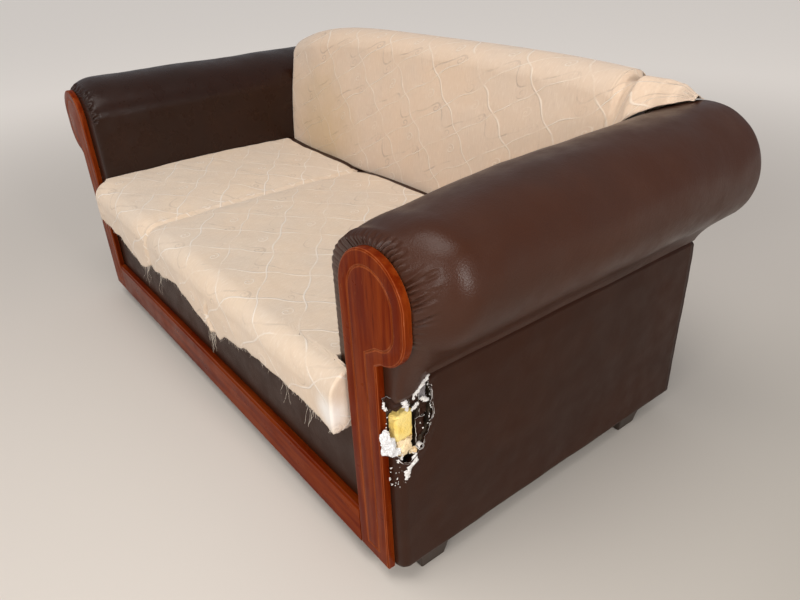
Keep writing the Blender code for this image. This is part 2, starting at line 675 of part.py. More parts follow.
def make_fascia():
    """Skin on the front board, from behind the front rail up to the board's top edge."""
    y0, y1 = FASCIA_Y, FASCIA_Y + SKIN
    low = FACING_BOTTOM + FACING_THICKNESS / 2
    round_off = SKIN * 0.4
    profile = [(y0, low), (y0, BASE_TOP - round_off), (y0 + round_off, BASE_TOP), (y1, BASE_TOP), (y1, low)]
    rings = [[(x, y, z) for y, z in profile] for x in (-LEG_OUTER, LEG_OUTER)]
    return add_object("fascia_skin", loft(rings), LEATHER)


clear_scene()
SOFA = bpy.data.objects.new("sofa", None)
bpy.context.collection.objects.link(SOFA)
SOFA.location = (0.0, -MIDDLE_Y, 0.0)

LACQUER = material("red brown lacquered wood", (0.24, 0.050, 0.018), 0.22, 0.5)
LEATHER = material("dark brown imitation leather", (0.045, 0.020, 0.014), 0.32)
CREAM_CLOTH = material("cream jacquard cloth", (0.76, 0.62, 0.48), 0.85)
FOAM = material("yellow foam", (0.85, 0.66, 0.22), 0.9)
WADDING = material("white wadding", (0.85, 0.84, 0.82), 0.95)
PINE = material("pine board", (0.62, 0.42, 0.22), 0.7)
DARK_WOOD = material("dark brown wood", (0.07, 0.035, 0.022), 0.5)
BROWN_BOARD = material("hardboard", (0.22, 0.13, 0.07), 0.8)
BLACK_CLOTH = material("black underside cloth", (0.02, 0.02, 0.02), 0.95)
FELT = material("grey felt", (0.35, 0.34, 0.32), 0.95)
SPRING_STEEL = wire_material("spring steel", (0.35, 0.35, 0.36))


def make_base():
    """The box of boards under the seat, its stretchers, and the skin and cloths round it."""
    half = FRAME_POST_X - FIT
    for name, y in (("base_front_board", FRONT_BOARD_Y), ("base_rear_board", REAR_BOARD_Y)):
        board(name, (-half, y, BODY_BOTTOM), (half, y + FRONT_BOARD, BASE_TOP), PINE)
    for name, x in (("base_stretcher_left", SEAT_SEAM), ("base_stretcher_right", -SEAT_SEAM)):
        board(name, (x - BOARD / 2, FRONT_BOARD_Y + FRONT_BOARD + FIT, BODY_BOTTOM),
              (x + BOARD / 2, REAR_BOARD_Y - FIT, BODY_BOTTOM + STRETCHER_HEIGHT), PINE)
    make_fascia()
    cover_end = SIDE_X - DUST_COVER_INSET
    low = FOOT_HEIGHT + FIT
    board("dust_cover", (-cover_end, FRONT_BOARD_Y, low),
          (cover_end, PANEL_REAR - DUST_COVER_INSET / 2, low + DUST_COVER_THICKNESS), BLACK_CLOTH)


def make_arm_frame(side, word):
    """Posts, rails and hardboard inside one arm."""
    x0, x1 = FRAME_POST_X, FRAME_POST_X + POST_BOARD - FIT
    post_top = ARM_RAIL_TOP - ARM_RAIL_HEIGHT - FIT
    for name, y in (("arm_front_post_", BEHIND_FACING), ("arm_rear_post_", REAR_BOARD_Y - POST_DEPTH)):
        side_board(name + word, side, (x0, y, BODY_BOTTOM), (x1, y + POST_DEPTH, post_top), PINE)
    side_board("arm_top_rail_" + word, side, (x0, BEHIND_FACING, post_top + FIT),
               (x1, REAR_BOARD_Y, ARM_RAIL_TOP), PINE)
    side_board("side_rail_" + word, side, (SIDE_RAIL_X, BEHIND_FACING, BODY_BOTTOM),
               (SIDE_RAIL_X + BOARD, REAR_SKIN_Y - FIT, BODY_BOTTOM + SIDE_RAIL_HEIGHT), PINE)
    side_board("side_hardboard_" + word, side, (HARDBOARD_X, BEHIND_FACING, BODY_BOTTOM),
               (HARDBOARD_X + HARDBOARD, REAR_SKIN_Y - FIT, PANEL_SEAM_HEIGHT - FIT), BROWN_BOARD)


def make_side(side, word):
    """Foam sheet and skin of one side panel. The right one is torn open at its front top corner."""
    skin = make_side_skin("side_skin_" + word, side)
    padding = add_object("side_padding_" + word, panel_block(side, SKIN + 3 * FIT), FOAM)
    if side > 0:
        cut(skin, tear_cutter("tear_in_skin", PADDING_X - 0.01, 1.0))
        cut(padding, tear_cutter("tear_in_padding", PADDING_X - 0.01, TORN_FOAM_GROWTH))


def foam_lump(name, front, top, height, depth, set_in, rounding):
    """A block of foam in the tear, its front at a depth and its top below the panel's seam."""
    high = PANEL_SEAM_HEIGHT - top
    bm = box_mesh((TORN_X, front, high - height), (SIDE_X - set_in, front + depth, high))
    bmesh.ops.bevel(bm, geom=bm.edges[:], offset=rounding, segments=1, profile=0.5,
                    affect="EDGES", material=-1)
    return add_object(name, bm, FOAM)


def make_tear():
    """What shows in the torn corner: foam, wadding and flaps of skin."""
    block_bottom = TORN_BLOCK_TOP + TORN_BLOCK_HEIGHT
    foam_lump("torn_foam_block", TORN_BLOCK_FRONT, TORN_BLOCK_TOP, TORN_BLOCK_HEIGHT, TORN_BLOCK_DEPTH,
              set_in=0.003, rounding=0.004)
    foam_lump("torn_foam_lower", TORN_BLOCK_FRONT + 0.006, block_bottom + FIT, TORN_LOWER_HEIGHT,
              TORN_BLOCK_DEPTH - 0.008, set_in=0.007, rounding=0.005)
    wad = bmesh.new()
    bmesh.ops.create_icosphere(wad, subdivisions=2, radius=1.0)
    for v in wad.verts:
        lump = 1 + 0.16 * math.sin(5 * v.co.x + 2 * v.co.z) * math.cos(4 * v.co.y + v.co.z)
        v.co = Vector([c * half * lump for c, half in zip(v.co, WADDING_HALF_SIZE)])
    against_post = POST_OUT + FIT - min(v.co.x for v in wad.verts)
    against_foam = TORN_BLOCK_FRONT - FIT - max(v.co.y for v in wad.verts)
    place = (against_post, against_foam, PANEL_SEAM_HEIGHT - block_bottom + 0.001)
    bmesh.ops.translate(wad, vec=place, verts=wad.verts)
    add_object("torn_wadding", wad, WADDING)
    make_flap("torn_flap_upper", y0=0.020, y1=0.080, top=FIT, bottom=0.027, curl=0.006)
    make_flap("torn_flap_front", y0=0.019, y1=0.046, top=TORN_BLOCK_TOP - 0.0085, bottom=TORN_BLOCK_TOP - FIT,
              curl=-0.004)


def make_flap(name, y0, y1, top, bottom, curl):
    """A strip of torn skin below the seam, from top to bottom, that curls at its lower edge."""
    outer, inner = [], []
    for i in range(7):
        t = i / 6
        x = SIDE_X - 0.006 - 0.010 * (1 - t) + curl * t * t
        fall = (bottom - top) * t
        outer.append((x + TORN_FLAP_THICKNESS, fall))
        inner.append((x, fall))
    rings = []
    for share, drop in ((0.0, 0.35), (0.3, 0.85), (0.6, 1.0), (1.0, 0.45)):
        y = y0 + (y1 - y0) * share
        rings.append([(x, y, PANEL_SEAM_HEIGHT - top - fall * drop) for x, fall in outer + inner[::-1]])
    return add_object(name, loft(rings), LEATHER)


def make_back_frame():
    """Uprights, two rails and webbing that carry the backrest, and the skin behind it."""
    x0, x1 = BACK_END - BOARD, BACK_END
    y0, y1 = BACK_FRAME_Y, BACK_FRAME_Y + FRONT_BOARD
    for side, word in ((-1, "left"), (1, "right")):
        side_board("back_upright_" + word, side, (x0, y0, CUSHION_Z), (x1, y1, BACK_RAIL_TOP), PINE)
    rail_end = x0 - FIT
    for name, z in (("back_top_rail", BACK_RAIL_TOP - BACK_RAIL_HEIGHT), ("back_lower_rail", CUSHION_Z)):
        board(name, (-rail_end, y0, z), (rail_end, y1, z + BACK_RAIL_HEIGHT), PINE)
    low = CUSHION_Z + BACK_RAIL_HEIGHT
    room = BACK_RAIL_TOP - BACK_RAIL_HEIGHT - low
    pitch = room / STRAP_COUNT
    for i in range(STRAP_COUNT):
        z = low + pitch * (i + 0.5)
        board("back_strap_%d" % (i + 1), (-rail_end, y0, z - STRAP_HEIGHT / 2),
              (rail_end, y0 + STRAP_THICKNESS, z + STRAP_HEIGHT / 2), FELT)


def make_rear_skin():
    """The skin behind the sofa: wide under the arm rolls, narrower between them."""
    wide = TORN_X - FIT
    top = BACK_RAIL_TOP
    low = BODY_BOTTOM
    step = PANEL_SEAM_HEIGHT - FIT
    outline = [(-wide, low), (wide, low), (wide, step), (BACK_END, step), (BACK_END, top), (-BACK_END, top),
               (-BACK_END, step), (-wide, step)]
    rings = [[(x, y, z) for x, z in outline] for y in (REAR_SKIN_Y, PANEL_REAR)]
    add_object("rear_skin", loft(rings), LEATHER)


def make_seat():
    """Springs, deck felt, three cushions and the two cloth panels over them."""
    pitch = 2 * SEAT_END / SPRING_COUNT
    for i in range(SPRING_COUNT):
        make_spring("seat_spring_%d" % (i + 1), -SEAT_END + pitch * (i + 0.5))
    board("deck_felt", (-SEAT_END, FRONT_BOARD_Y + FRONT_BOARD / 2, DECK_Z),
          (SEAT_END, BACK_FRAME_Y + FRONT_BOARD, DECK_Z + DECK_THICKNESS), FELT)
    words = ("left", "middle", "right")
    for word, low, high in zip(words, CUSHION_EDGES, CUSHION_EDGES[1:]):
        make_cushion("seat_cushion_" + word, low + CUSHION_GAP / 2, high - CUSHION_GAP / 2)
    make_seat_cloth("seat_cloth_left", CUSHION_EDGES[:2])
    make_seat_cloth("seat_cloth_right", CUSHION_EDGES[1:])


def make_sofa():
    make_base()
    for side, word in ((-1, "left"), (1, "right")):
        make_facing("facing_" + word, side)
        make_arm_frame(side, word)
        make_arm_roll("arm_roll_" + word, side)
        make_side(side, word)
        make_foot("foot_front_" + word, side, FRONT_FOOT_Y)
        make_foot("foot_rear_" + word, side, REAR_FOOT_Y)
    make_front_rail()
    make_tear()
    make_seat()
    make_back_frame()
    make_backrest()
    make_back_cloth()
    make_rear_skin()


make_sofa()
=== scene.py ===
# %% [markdown]
# # A torn three-seat sofa, dressed
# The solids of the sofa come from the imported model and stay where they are. This script gives them
# their looks: leather, lacquer, woven cloth, foam and wadding. Each step says what the piece is on
# the real sofa and why it is made the way it is. Lengths are metres, +X runs to the right of someone
# who faces the sofa, +Y runs to its back, and the floor is z = 0.

# %% Load the solids
import math
import random

import bmesh
import bpy
from mathutils import Matrix, Vector, noise


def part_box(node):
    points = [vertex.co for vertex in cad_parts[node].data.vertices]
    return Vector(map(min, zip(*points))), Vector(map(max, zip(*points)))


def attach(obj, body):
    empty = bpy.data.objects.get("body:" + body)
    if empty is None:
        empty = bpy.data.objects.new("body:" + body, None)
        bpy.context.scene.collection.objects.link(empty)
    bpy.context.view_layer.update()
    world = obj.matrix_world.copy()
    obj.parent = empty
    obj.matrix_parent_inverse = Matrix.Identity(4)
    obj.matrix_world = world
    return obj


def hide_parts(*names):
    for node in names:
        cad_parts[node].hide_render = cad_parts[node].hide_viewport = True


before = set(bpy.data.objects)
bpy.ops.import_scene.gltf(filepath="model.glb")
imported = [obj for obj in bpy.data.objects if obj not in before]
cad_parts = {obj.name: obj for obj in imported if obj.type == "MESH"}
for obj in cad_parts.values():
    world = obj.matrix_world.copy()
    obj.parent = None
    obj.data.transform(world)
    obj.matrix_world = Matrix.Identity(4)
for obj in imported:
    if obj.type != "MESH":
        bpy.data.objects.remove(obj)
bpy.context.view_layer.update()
print("solids:", len(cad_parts))

# %% [markdown]
# ## Places on the sofa
# Every place is read from the solids: the facings give the front plane and the width between the
# arms, the rolls give the arms, and the backrest and cushions give the seat. Depths are counted from
# the facings' front plane, so `FRONT + 0.1` lies 100 mm behind it.

# %% Places
facing_low, facing_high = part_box("facing_right")
FRONT = facing_low.y
INNER = facing_low.x
BEHIND_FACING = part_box("facing_right")[1].y - FRONT + 0.0003
HEAD_RADIUS = (facing_high.x - facing_low.x) / 2
HEAD_X = INNER + HEAD_RADIUS
HEAD_Z = facing_high.z - HEAD_RADIUS
POST_WIDTH = 0.090
POST_OUT = INNER + POST_WIDTH
roll_low, roll_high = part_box("arm_roll_right")
ARM_INNER = roll_low.x
ARM_OUTER = roll_high.x
ARM_FOOT = roll_low.z
ROLL_REAR = roll_high.y - FRONT
ROLL_OUTER_HALF = 0.127
ROLL_X = ARM_OUTER - ROLL_OUTER_HALF
SIDE_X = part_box("side_skin_right")[1].x
SEAM_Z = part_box("side_skin_right")[1].z
SIDE_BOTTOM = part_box("side_skin_right")[0].z
PANEL_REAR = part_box("rear_skin")[1].y - FRONT
SEAT_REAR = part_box("seat_cushion_middle")[1].y - FRONT
BACK_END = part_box("backrest_pad")[1].x
BACK_FOOT_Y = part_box("backrest_pad")[0].y - FRONT
BACK_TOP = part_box("backrest_pad")[1].z
RAIL_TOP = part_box("front_rail")[1].z
print("opening %.3f m, seam at %.3f m, back top at %.3f m" % (2 * INNER, SEAM_Z, BACK_TOP))


def smoothstep(t):
    t = min(max(t, 0.0), 1.0)
    return t * t * (3 - 2 * t)


def mix(a, b, t):
    return a + (b - a) * t


def behind(x, depth, z):
    """A point given by its depth behind the facings' front plane."""
    return Vector((x, FRONT + depth, z))


# %% [markdown]
# ## The camera
# The camera stands at the right front corner, a little above the arm, and looks down across the
# seat. Its three directions were fitted to the picture: where it looks, what is to its right and
# what is up.

# %% Camera
CAMERA_PLACE = (1.5273, -0.4822, 1.1127)
CAMERA_RIGHT = Vector((0.61581, 0.78698, -0.03793))
CAMERA_DOWN = Vector((0.36229, -0.32557, -0.87335))
CAMERA_AHEAD = Vector((-0.69966, 0.52408, -0.48561))
camera_data = bpy.data.cameras.new("camera")
camera_data.lens = 29.924
camera_data.sensor_width = 36.0
camera = bpy.data.objects.new("camera", camera_data)
bpy.context.scene.collection.objects.link(camera)
turn = Matrix((CAMERA_RIGHT, -CAMERA_DOWN, -CAMERA_AHEAD)).transposed().to_4x4()
camera.matrix_world = Matrix.Translation(behind(*CAMERA_PLACE)) @ turn
bpy.context.scene.camera = camera
print("camera at", [round(c, 3) for c in camera.location])

# %% [markdown]
# ## Building materials from nodes
# A finish is a Principled shader with colour, roughness and bump worked out by nodes. These helpers
# keep such a material short: `add` makes a node and plugs its inputs, `calc` does one sum, `blend`
# mixes two colours and `mask` turns a value into a soft edge from 0 to 1.

# %% Node helpers


def new_material(name):
    made = bpy.data.materials.new(name)
    made.use_nodes = True
    return made, made.node_tree, made.node_tree.nodes["Principled BSDF"]


def plug(tree, socket, value):
    if isinstance(value, bpy.types.NodeSocket):
        tree.links.new(value, socket)
    elif isinstance(value, (tuple, list)) and len(value) == 3 and socket.type == "RGBA":
        socket.default_value = (*value, 1.0)
    else:
        socket.default_value = value


def add(tree, kind, inputs=None, **settings):
    made = tree.nodes.new("ShaderNode" + kind)
    for key, value in settings.items():
        setattr(made, key, value)
    for key, value in (inputs or {}).items():
        plug(tree, made.inputs[key], value)
    return made


def calc(tree, operation, a, b=0.0, c=0.0):
    made = add(tree, "Math", operation=operation)
    for socket, value in zip(made.inputs, (a, b, c)):
        plug(tree, socket, value)
    return made.outputs[0]


def blend(tree, share, a, b, way="MIX"):
    made = add(tree, "Mix", data_type="RGBA", blend_type=way)
    plug(tree, made.inputs["Factor"], share)
    plug(tree, made.inputs[6], a)
    plug(tree, made.inputs[7], b)
    return made.outputs[2]


def mask(tree, value, low, high, to_low=0.0, to_high=1.0):
    made = add(tree, "MapRange", {"Value": value, "From Min": low, "From Max": high, "To Min": to_low,
                                  "To Max": to_high}, interpolation_type="SMOOTHSTEP")
    return made.outputs[0]


def place_on_object(tree, scale=(1, 1, 1)):
    coords = add(tree, "TexCoord").outputs["Object"]
    return add(tree, "Mapping", {"Vector": coords, "Scale": scale}).outputs[0]


def noise_of(tree, vector, scale, detail=3.0, roughness=0.55):
    made = add(tree, "TexNoise", {"Vector": vector, "Scale": scale, "Detail": detail, "Roughness": roughness})
    return made.outputs[0]


def bump(tree, height, distance, strength=1.0, under=None):
    inputs = {"Height": height, "Distance": distance, "Strength": strength}
    if under is not None:
        inputs["Normal"] = under
    return add(tree, "Bump", inputs).outputs[0]


# %% [markdown]
# ## Imitation leather
# The cover is a dark brown plastic skin with an embossed grain of small cells. It is not one colour:
# large patches lean to red or to grey, scuffs are lighter and duller, and the grain breaks up the
# reflections into specks. Voronoi cells make the grain, and stretched noise makes the scuffs.

# %% Leather


def leather(name, tint=1.0, sheen=0.29, shine=0.25):
    made, tree, shader = new_material(name)
    place = place_on_object(tree)
    patches = noise_of(tree, place, 2.6, 4.0)
    clouds = noise_of(tree, place, 11.0, 5.0)
    red = (0.0440 * tint, 0.0135 * tint, 0.0058 * tint)
    grey = (0.0400 * tint, 0.0150 * tint, 0.0085 * tint)
    colour = blend(tree, mask(tree, patches, 0.38, 0.62), red, grey)
    colour = blend(tree, mask(tree, clouds, 0.45, 0.75, 0.0, 0.5), colour, (0.054 * tint, 0.019 * tint, 0.0095 * tint))
    scuff_place = place_on_object(tree, (26, 9, 34))
    scuffs = mask(tree, noise_of(tree, scuff_place, 1.0, 8.0, 0.75), 0.67, 0.79, 0.0, 0.30)
    colour = blend(tree, scuffs, colour, (0.095 * tint, 0.050 * tint, 0.036 * tint))
    plug(tree, shader.inputs["Base Color"], colour)
    cells = add(tree, "TexVoronoi", {"Vector": place, "Scale": 380.0, "Randomness": 1.0}).outputs["Distance"]
    fine = noise_of(tree, place, 900.0, 2.0)
    grain = calc(tree, "ADD", cells, calc(tree, "MULTIPLY", fine, 0.5))
    soft = bump(tree, noise_of(tree, place, 34.0, 3.0), 0.0012, 0.5)
    plug(tree, shader.inputs["Normal"], bump(tree, grain, 0.00028, 0.75, soft))
    rough = mask(tree, noise_of(tree, place, 19.0, 5.0), 0.3, 0.72, sheen, sheen + 0.14)
    plug(tree, shader.inputs["Roughness"], calc(tree, "ADD", rough, calc(tree, "MULTIPLY", scuffs, 0.4)))
    shader.inputs["Specular IOR Level"].default_value = shine
    return made


LEATHER = leather("brown_leather", 1.05)
# The far arm's copy is painted at half the colour: painted shade over the far arm.
LEATHER_FAR_PAINTED_SHADE = leather("brown_leather_far_arm_painted_shade", 0.50, 0.24)
# The panels' copy is painted darker than the arms' leather: painted shade, made for the side panels and used on the
# fascia and rear skin as well.
LEATHER_PANELS_PAINTED_SHADE = leather("brown_leather_panels_painted_shade", 0.78, 0.34, 0.13)
LEATHER_DULL = leather("brown_leather_dull", 0.8, 0.40, 0.13)
# The torn strips' copy is painted darker: painted shade inside the torn corner.
TORN_LEATHER_PAINTED_SHADE = leather("torn_leather_painted_shade", 0.6, 0.36, 0.13)
print("leather:", LEATHER.name, LEATHER_PANELS_PAINTED_SHADE.name, LEATHER_DULL.name, TORN_LEATHER_PAINTED_SHADE.name)

# %% [markdown]
# ## Red-brown lacquer
# The wooden trim is stained and lacquered. The grain runs along each board, so the noise is
# stretched along Z for the facings and along X for the rail. Worn spots, where the stain has rubbed
# off, are lighter. The routed line and the bevelled front edge of the facings get the same finish in a
# lighter mix, a painted highlight along them.

# %% Lacquer


def lacquer(name, stretch, low, high, edge):
    """Stained wood between two colours, with a third where the stain has rubbed off."""
    made, tree, shader = new_material(name)
    wave = noise_of(tree, place_on_object(tree, stretch), 1.0, 6.0, 0.6)
    streaks = noise_of(tree, place_on_object(tree, tuple(4.5 * s for s in stretch)), 1.0, 3.0, 0.7)
    colour = blend(tree, mask(tree, wave, 0.36, 0.66), low, high)
    colour = blend(tree, mask(tree, streaks, 0.54, 0.72, 0.0, 0.6), colour, tuple(0.55 * c for c in low))
    place = place_on_object(tree)
    worn = mask(tree, noise_of(tree, place, 46.0, 8.0, 0.8), 0.69, 0.76, 0.0, 0.6)
    scratches = noise_of(tree, place_on_object(tree, tuple(3.0 * s for s in stretch)), 3.0, 2.0, 0.5)
    worn = calc(tree, "MAXIMUM", worn, mask(tree, scratches, 0.73, 0.77, 0.0, 0.6))
    colour = blend(tree, worn, colour, edge)
    plug(tree, shader.inputs["Base Color"], colour)
    rough = mask(tree, noise_of(tree, place, 14.0, 4.0), 0.3, 0.75, 0.26, 0.42)
    plug(tree, shader.inputs["Roughness"], calc(tree, "ADD", rough, calc(tree, "MULTIPLY", worn, 0.3)))
    shader.inputs["Specular IOR Level"].default_value = 0.04
    soft = bump(tree, noise_of(tree, place, 9.0, 2.0), 0.0016, 0.35)
    plug(tree, shader.inputs["Normal"], bump(tree, streaks, 0.00012, 0.5, soft))
    return made


UPRIGHT, LENGTHWISE = (60, 60, 4.0), (4.0, 60, 60)
STAIN_LOW, STAIN_HIGH, STAIN_WORN = (0.120, 0.0105, 0.0004), (0.200, 0.0300, 0.0030), (0.42, 0.150, 0.050)
LACQUER_UPRIGHT = lacquer("lacquered_wood_upright", UPRIGHT, STAIN_LOW, STAIN_HIGH, STAIN_WORN)
LACQUER_LENGTH = lacquer("lacquered_wood_lengthwise", LENGTHWISE, STAIN_LOW, STAIN_HIGH, STAIN_WORN)
# The line finish is lighter all through: a painted highlight for the routed line and the bevelled edge, with worn
# spots of its own.
LACQUER_LINE_PAINTED_HIGHLIGHT = lacquer("lacquer_line_painted_highlight", UPRIGHT, (0.20, 0.036, 0.007), (0.30, 0.075, 0.024), (0.46, 0.18, 0.08))
print("lacquer:", LACQUER_UPRIGHT.name, LACQUER_LENGTH.name, LACQUER_LINE_PAINTED_HIGHLIGHT.name)

# %% [markdown]
# ## Jacquard cloth
# The loose cover is a cream jacquard: a lattice of raised satin lines with ogee cells, thin darker
# scroll lines that wave across it, and a small curl in each cell. The pattern lies in the piece's
# own flat coordinates, in metres, so that it bends over the edges with the cloth. Two families of
# slanting lines, each with a slight S in it, make the lattice: a line is where `across + up` or
# `across - up` is a whole number. A curl is a spiral: the distance from its eye set against the
# angle round it.

# %% Cloth pattern
CELL_WIDTH = 0.176
CELL_HEIGHT = 0.136
CURL_SIZE = 0.017


def wrapped(tree, value):
    """How far a value is from the nearest whole number, from 0 to 0.5."""
    return calc(tree, "ABSOLUTE", signed_wrap(tree, value))


def signed_wrap(tree, value):
    shifted = calc(tree, "FRACT", calc(tree, "ADD", value, 100.5))
    return calc(tree, "SUBTRACT", shifted, 0.5)


def wave(tree, value, size, turns=1.0):
    return calc(tree, "MULTIPLY", calc(tree, "SINE", calc(tree, "MULTIPLY", value, 2 * math.pi * turns)), size)


def curl(tree, across, up, shift_across, shift_up, turn_way):
    """A spiral in each cell, as a mask, with its eye at a shift from the cell's corner."""
    p = calc(tree, "MULTIPLY", signed_wrap(tree, calc(tree, "ADD", across, shift_across)), CELL_WIDTH)
    q = calc(tree, "MULTIPLY", signed_wrap(tree, calc(tree, "ADD", up, shift_up)), CELL_HEIGHT)
    radius = calc(tree, "SQRT", calc(tree, "ADD", calc(tree, "MULTIPLY", p, p), calc(tree, "MULTIPLY", q, q)))
    angle = calc(tree, "MULTIPLY", calc(tree, "ARCTAN2", q, p), turn_way / (2 * math.pi))
    rings = wrapped(tree, calc(tree, "SUBTRACT", calc(tree, "MULTIPLY", radius, 1.5 / CURL_SIZE), angle))
    line = mask(tree, rings, 0.08, 0.20, 1.0, 0.0)
    return calc(tree, "MULTIPLY", line, mask(tree, radius, CURL_SIZE * 0.8, CURL_SIZE, 1.0, 0.0))


def jacquard(name, base, light, dark, relief, slant, accents):
    """Cloth in three tones. Each accent is a ball, in object coordinates, where the colour changes."""
    made, tree, shader = new_material(name)
    flat = add(tree, "UVMap", uv_map="flat").outputs[0]
    drift = add(tree, "TexNoise", {"Vector": flat, "Scale": 7.0, "Detail": 2.0}).outputs[1]
    drift = add(tree, "VectorMath", {0: drift, 1: (0.5, 0.5, 0.5)}, operation="SUBTRACT").outputs[0]
    drift = add(tree, "VectorMath", {0: drift, 3: 0.030}, operation="SCALE").outputs[0]
    bent = add(tree, "VectorMath", {0: flat, 1: drift}, operation="ADD").outputs[0]
    parts = add(tree, "SeparateXYZ", {0: bent})
    slid = calc(tree, "ADD", parts.outputs[0], calc(tree, "MULTIPLY", parts.outputs[1], slant))
    across = calc(tree, "DIVIDE", slid, CELL_WIDTH)
    up = calc(tree, "DIVIDE", parts.outputs[1], CELL_HEIGHT)
    rising = calc(tree, "SUBTRACT", across, up)
    falling = calc(tree, "ADD", across, up)
    one = wrapped(tree, calc(tree, "ADD", rising, wave(tree, falling, 0.035)))
    two = wrapped(tree, calc(tree, "ADD", falling, wave(tree, rising, -0.035)))
    near = calc(tree, "MINIMUM", one, two)
    lattice = mask(tree, near, 0.008, 0.026, 1.0, 0.0)
    swing = calc(tree, "ADD", wave(tree, across, 0.20), wave(tree, across, 0.06, 2.0))
    ripple = wrapped(tree, calc(tree, "ADD", calc(tree, "ADD", up, 0.25), swing))
    scroll = mask(tree, ripple, 0.010, 0.026, 1.0, 0.0)
    curls = calc(tree, "MAXIMUM", curl(tree, across, up, 0.20, 0.12, 1.0), curl(tree, across, up, 0.72, 0.58, -1.0))
    hooks = curl(tree, across, up, 0.45, 0.88, 1.0)
    patchy = mask(tree, noise_of(tree, flat, 19.0, 3.0), 0.40, 0.60, 0.15, 1.0)
    wear = mask(tree, noise_of(tree, flat, 9.0, 5.0, 0.65), 0.36, 0.58, 0.10, 1.0)
    lattice = calc(tree, "MULTIPLY", calc(tree, "MAXIMUM", lattice, calc(tree, "MULTIPLY", hooks, 0.8)), wear)
    scroll = calc(tree, "MULTIPLY", calc(tree, "MAXIMUM", scroll, curls), calc(tree, "MULTIPLY", patchy, wear))
    streak_place = add(tree, "Mapping", {"Vector": flat, "Scale": (230, 42, 1)}).outputs[0]
    streaks = noise_of(tree, streak_place, 1.0, 4.0, 0.7)
    where = add(tree, "TexCoord").outputs["Object"]
    tone = mask(tree, noise_of(tree, where, 5.0, 5.0), 0.3, 0.7)
    colour = blend(tree, tone, base, tuple(c * f for c, f in zip(base, (1.05, 1.01, 0.96))))
    colour = blend(tree, mask(tree, streaks, 0.50, 0.68, 0.0, 0.30), colour, light)
    colour = blend(tree, mask(tree, streaks, 0.30, 0.44, 0.22, 0.0), colour, dark)
    colour = blend(tree, calc(tree, "MULTIPLY", scroll, 0.62), colour, dark)
    colour = blend(tree, calc(tree, "MULTIPLY", lattice, 0.85), colour, light)
    for place, reach, amount, other in accents:
        away = add(tree, "VectorMath", {0: where, 1: tuple(place)}, operation="DISTANCE").outputs["Value"]
        uneven = calc(tree, "MULTIPLY", noise_of(tree, where, 9.0, 5.0, 0.6), reach * 0.8)
        share = mask(tree, calc(tree, "ADD", away, uneven), reach * 0.45, reach * 1.3, amount, 0.0)
        colour = blend(tree, share, colour, other)
    plug(tree, shader.inputs["Base Color"], colour)
    raised = calc(tree, "SUBTRACT", lattice, calc(tree, "MULTIPLY", scroll, 0.6))
    soft = bump(tree, noise_of(tree, flat, 42.0, 4.0), 0.0016, 0.45)
    figure = bump(tree, raised, relief, 0.9, soft)
    fuzz = bump(tree, noise_of(tree, flat, 420.0, 4.0, 0.7), 0.0009, 0.6, figure)
    plug(tree, shader.inputs["Normal"], bump(tree, streaks, 0.0007, 0.6, fuzz))
    plug(tree, shader.inputs["Roughness"], mask(tree, lattice, 0.0, 1.0, 0.88, 0.55))
    shader.inputs["Specular IOR Level"].default_value = 0.2
    shader.inputs["Sheen Weight"].default_value = 0.2
    shader.inputs["Sheen Roughness"].default_value = 0.5
    return made


# %% [markdown]
# The seat's cloth is bleached and worn white where it rubs on the right facing. The back's cloth is
# a shade deeper, its lattice leans, and its lower left has yellowed.

# %% Two cloths
WORN_CORNER = behind(0.70, -0.03, 0.375)
STAIN_MIDDLE = behind(-0.46, BACK_FOOT_Y, SEAM_Z + 0.05)
SEAT_CLOTH = jacquard("seat_jacquard", (0.70, 0.565, 0.44), (0.86, 0.76, 0.66), (0.55, 0.43, 0.33), 0.0010, 0.0,
                      [(WORN_CORNER, 0.055, 0.85, (0.92, 0.88, 0.83))])
BACK_CLOTH = jacquard("back_jacquard", (0.665, 0.515, 0.395), (0.80, 0.68, 0.56), (0.46, 0.345, 0.27), 0.0012, -0.60,
                      [(STAIN_MIDDLE, 0.30, 0.60, (0.55, 0.385, 0.20))])
print("cloth:", SEAT_CLOTH.name, BACK_CLOTH.name)

# %% [markdown]
# ## The plain finishes
# Foam, wadding, boards, felt and wire are simple next to the cover, but each still has its own
# texture: pores in the foam, lumps in the wadding, grain in the pine.

# %% Plain finishes


def plain(name, colour, other, scale, roughness, relief, metallic=0.0, stretch=(1, 1, 1)):
    made, tree, shader = new_material(name)
    place = place_on_object(tree, stretch)
    lumps = noise_of(tree, place, scale, 5.0, 0.65)
    plug(tree, shader.inputs["Base Color"], blend(tree, mask(tree, lumps, 0.35, 0.65), colour, other))
    plug(tree, shader.inputs["Roughness"], mask(tree, lumps, 0.3, 0.7, roughness, min(1.0, roughness + 0.12)))
    shader.inputs["Metallic"].default_value = metallic
    plug(tree, shader.inputs["Normal"], bump(tree, lumps, relief, 0.8))
    return made


def foam(name, colour, other):
    made, tree, shader = new_material(name)
    place = place_on_object(tree)
    pores = add(tree, "TexVoronoi", {"Vector": place, "Scale": 420.0}).outputs["Distance"]
    clouds = noise_of(tree, place, 40.0, 4.0)
    tone = blend(tree, mask(tree, clouds, 0.35, 0.65), colour, other)
    # The pores are painted darker: painted shade in the foam's hollows.
    deep = mask(tree, pores, 0.05, 0.30, 0.35, 0.0)
    plug(tree, shader.inputs["Base Color"], blend(tree, deep, tone, tuple(c * 0.7 for c in colour)))
    plug(tree, shader.inputs["Normal"], bump(tree, calc(tree, "ADD", pores, clouds), 0.0012, 0.7))
    shader.inputs["Roughness"].default_value = 0.95
    shader.inputs["Specular IOR Level"].default_value = 0.1
    return made


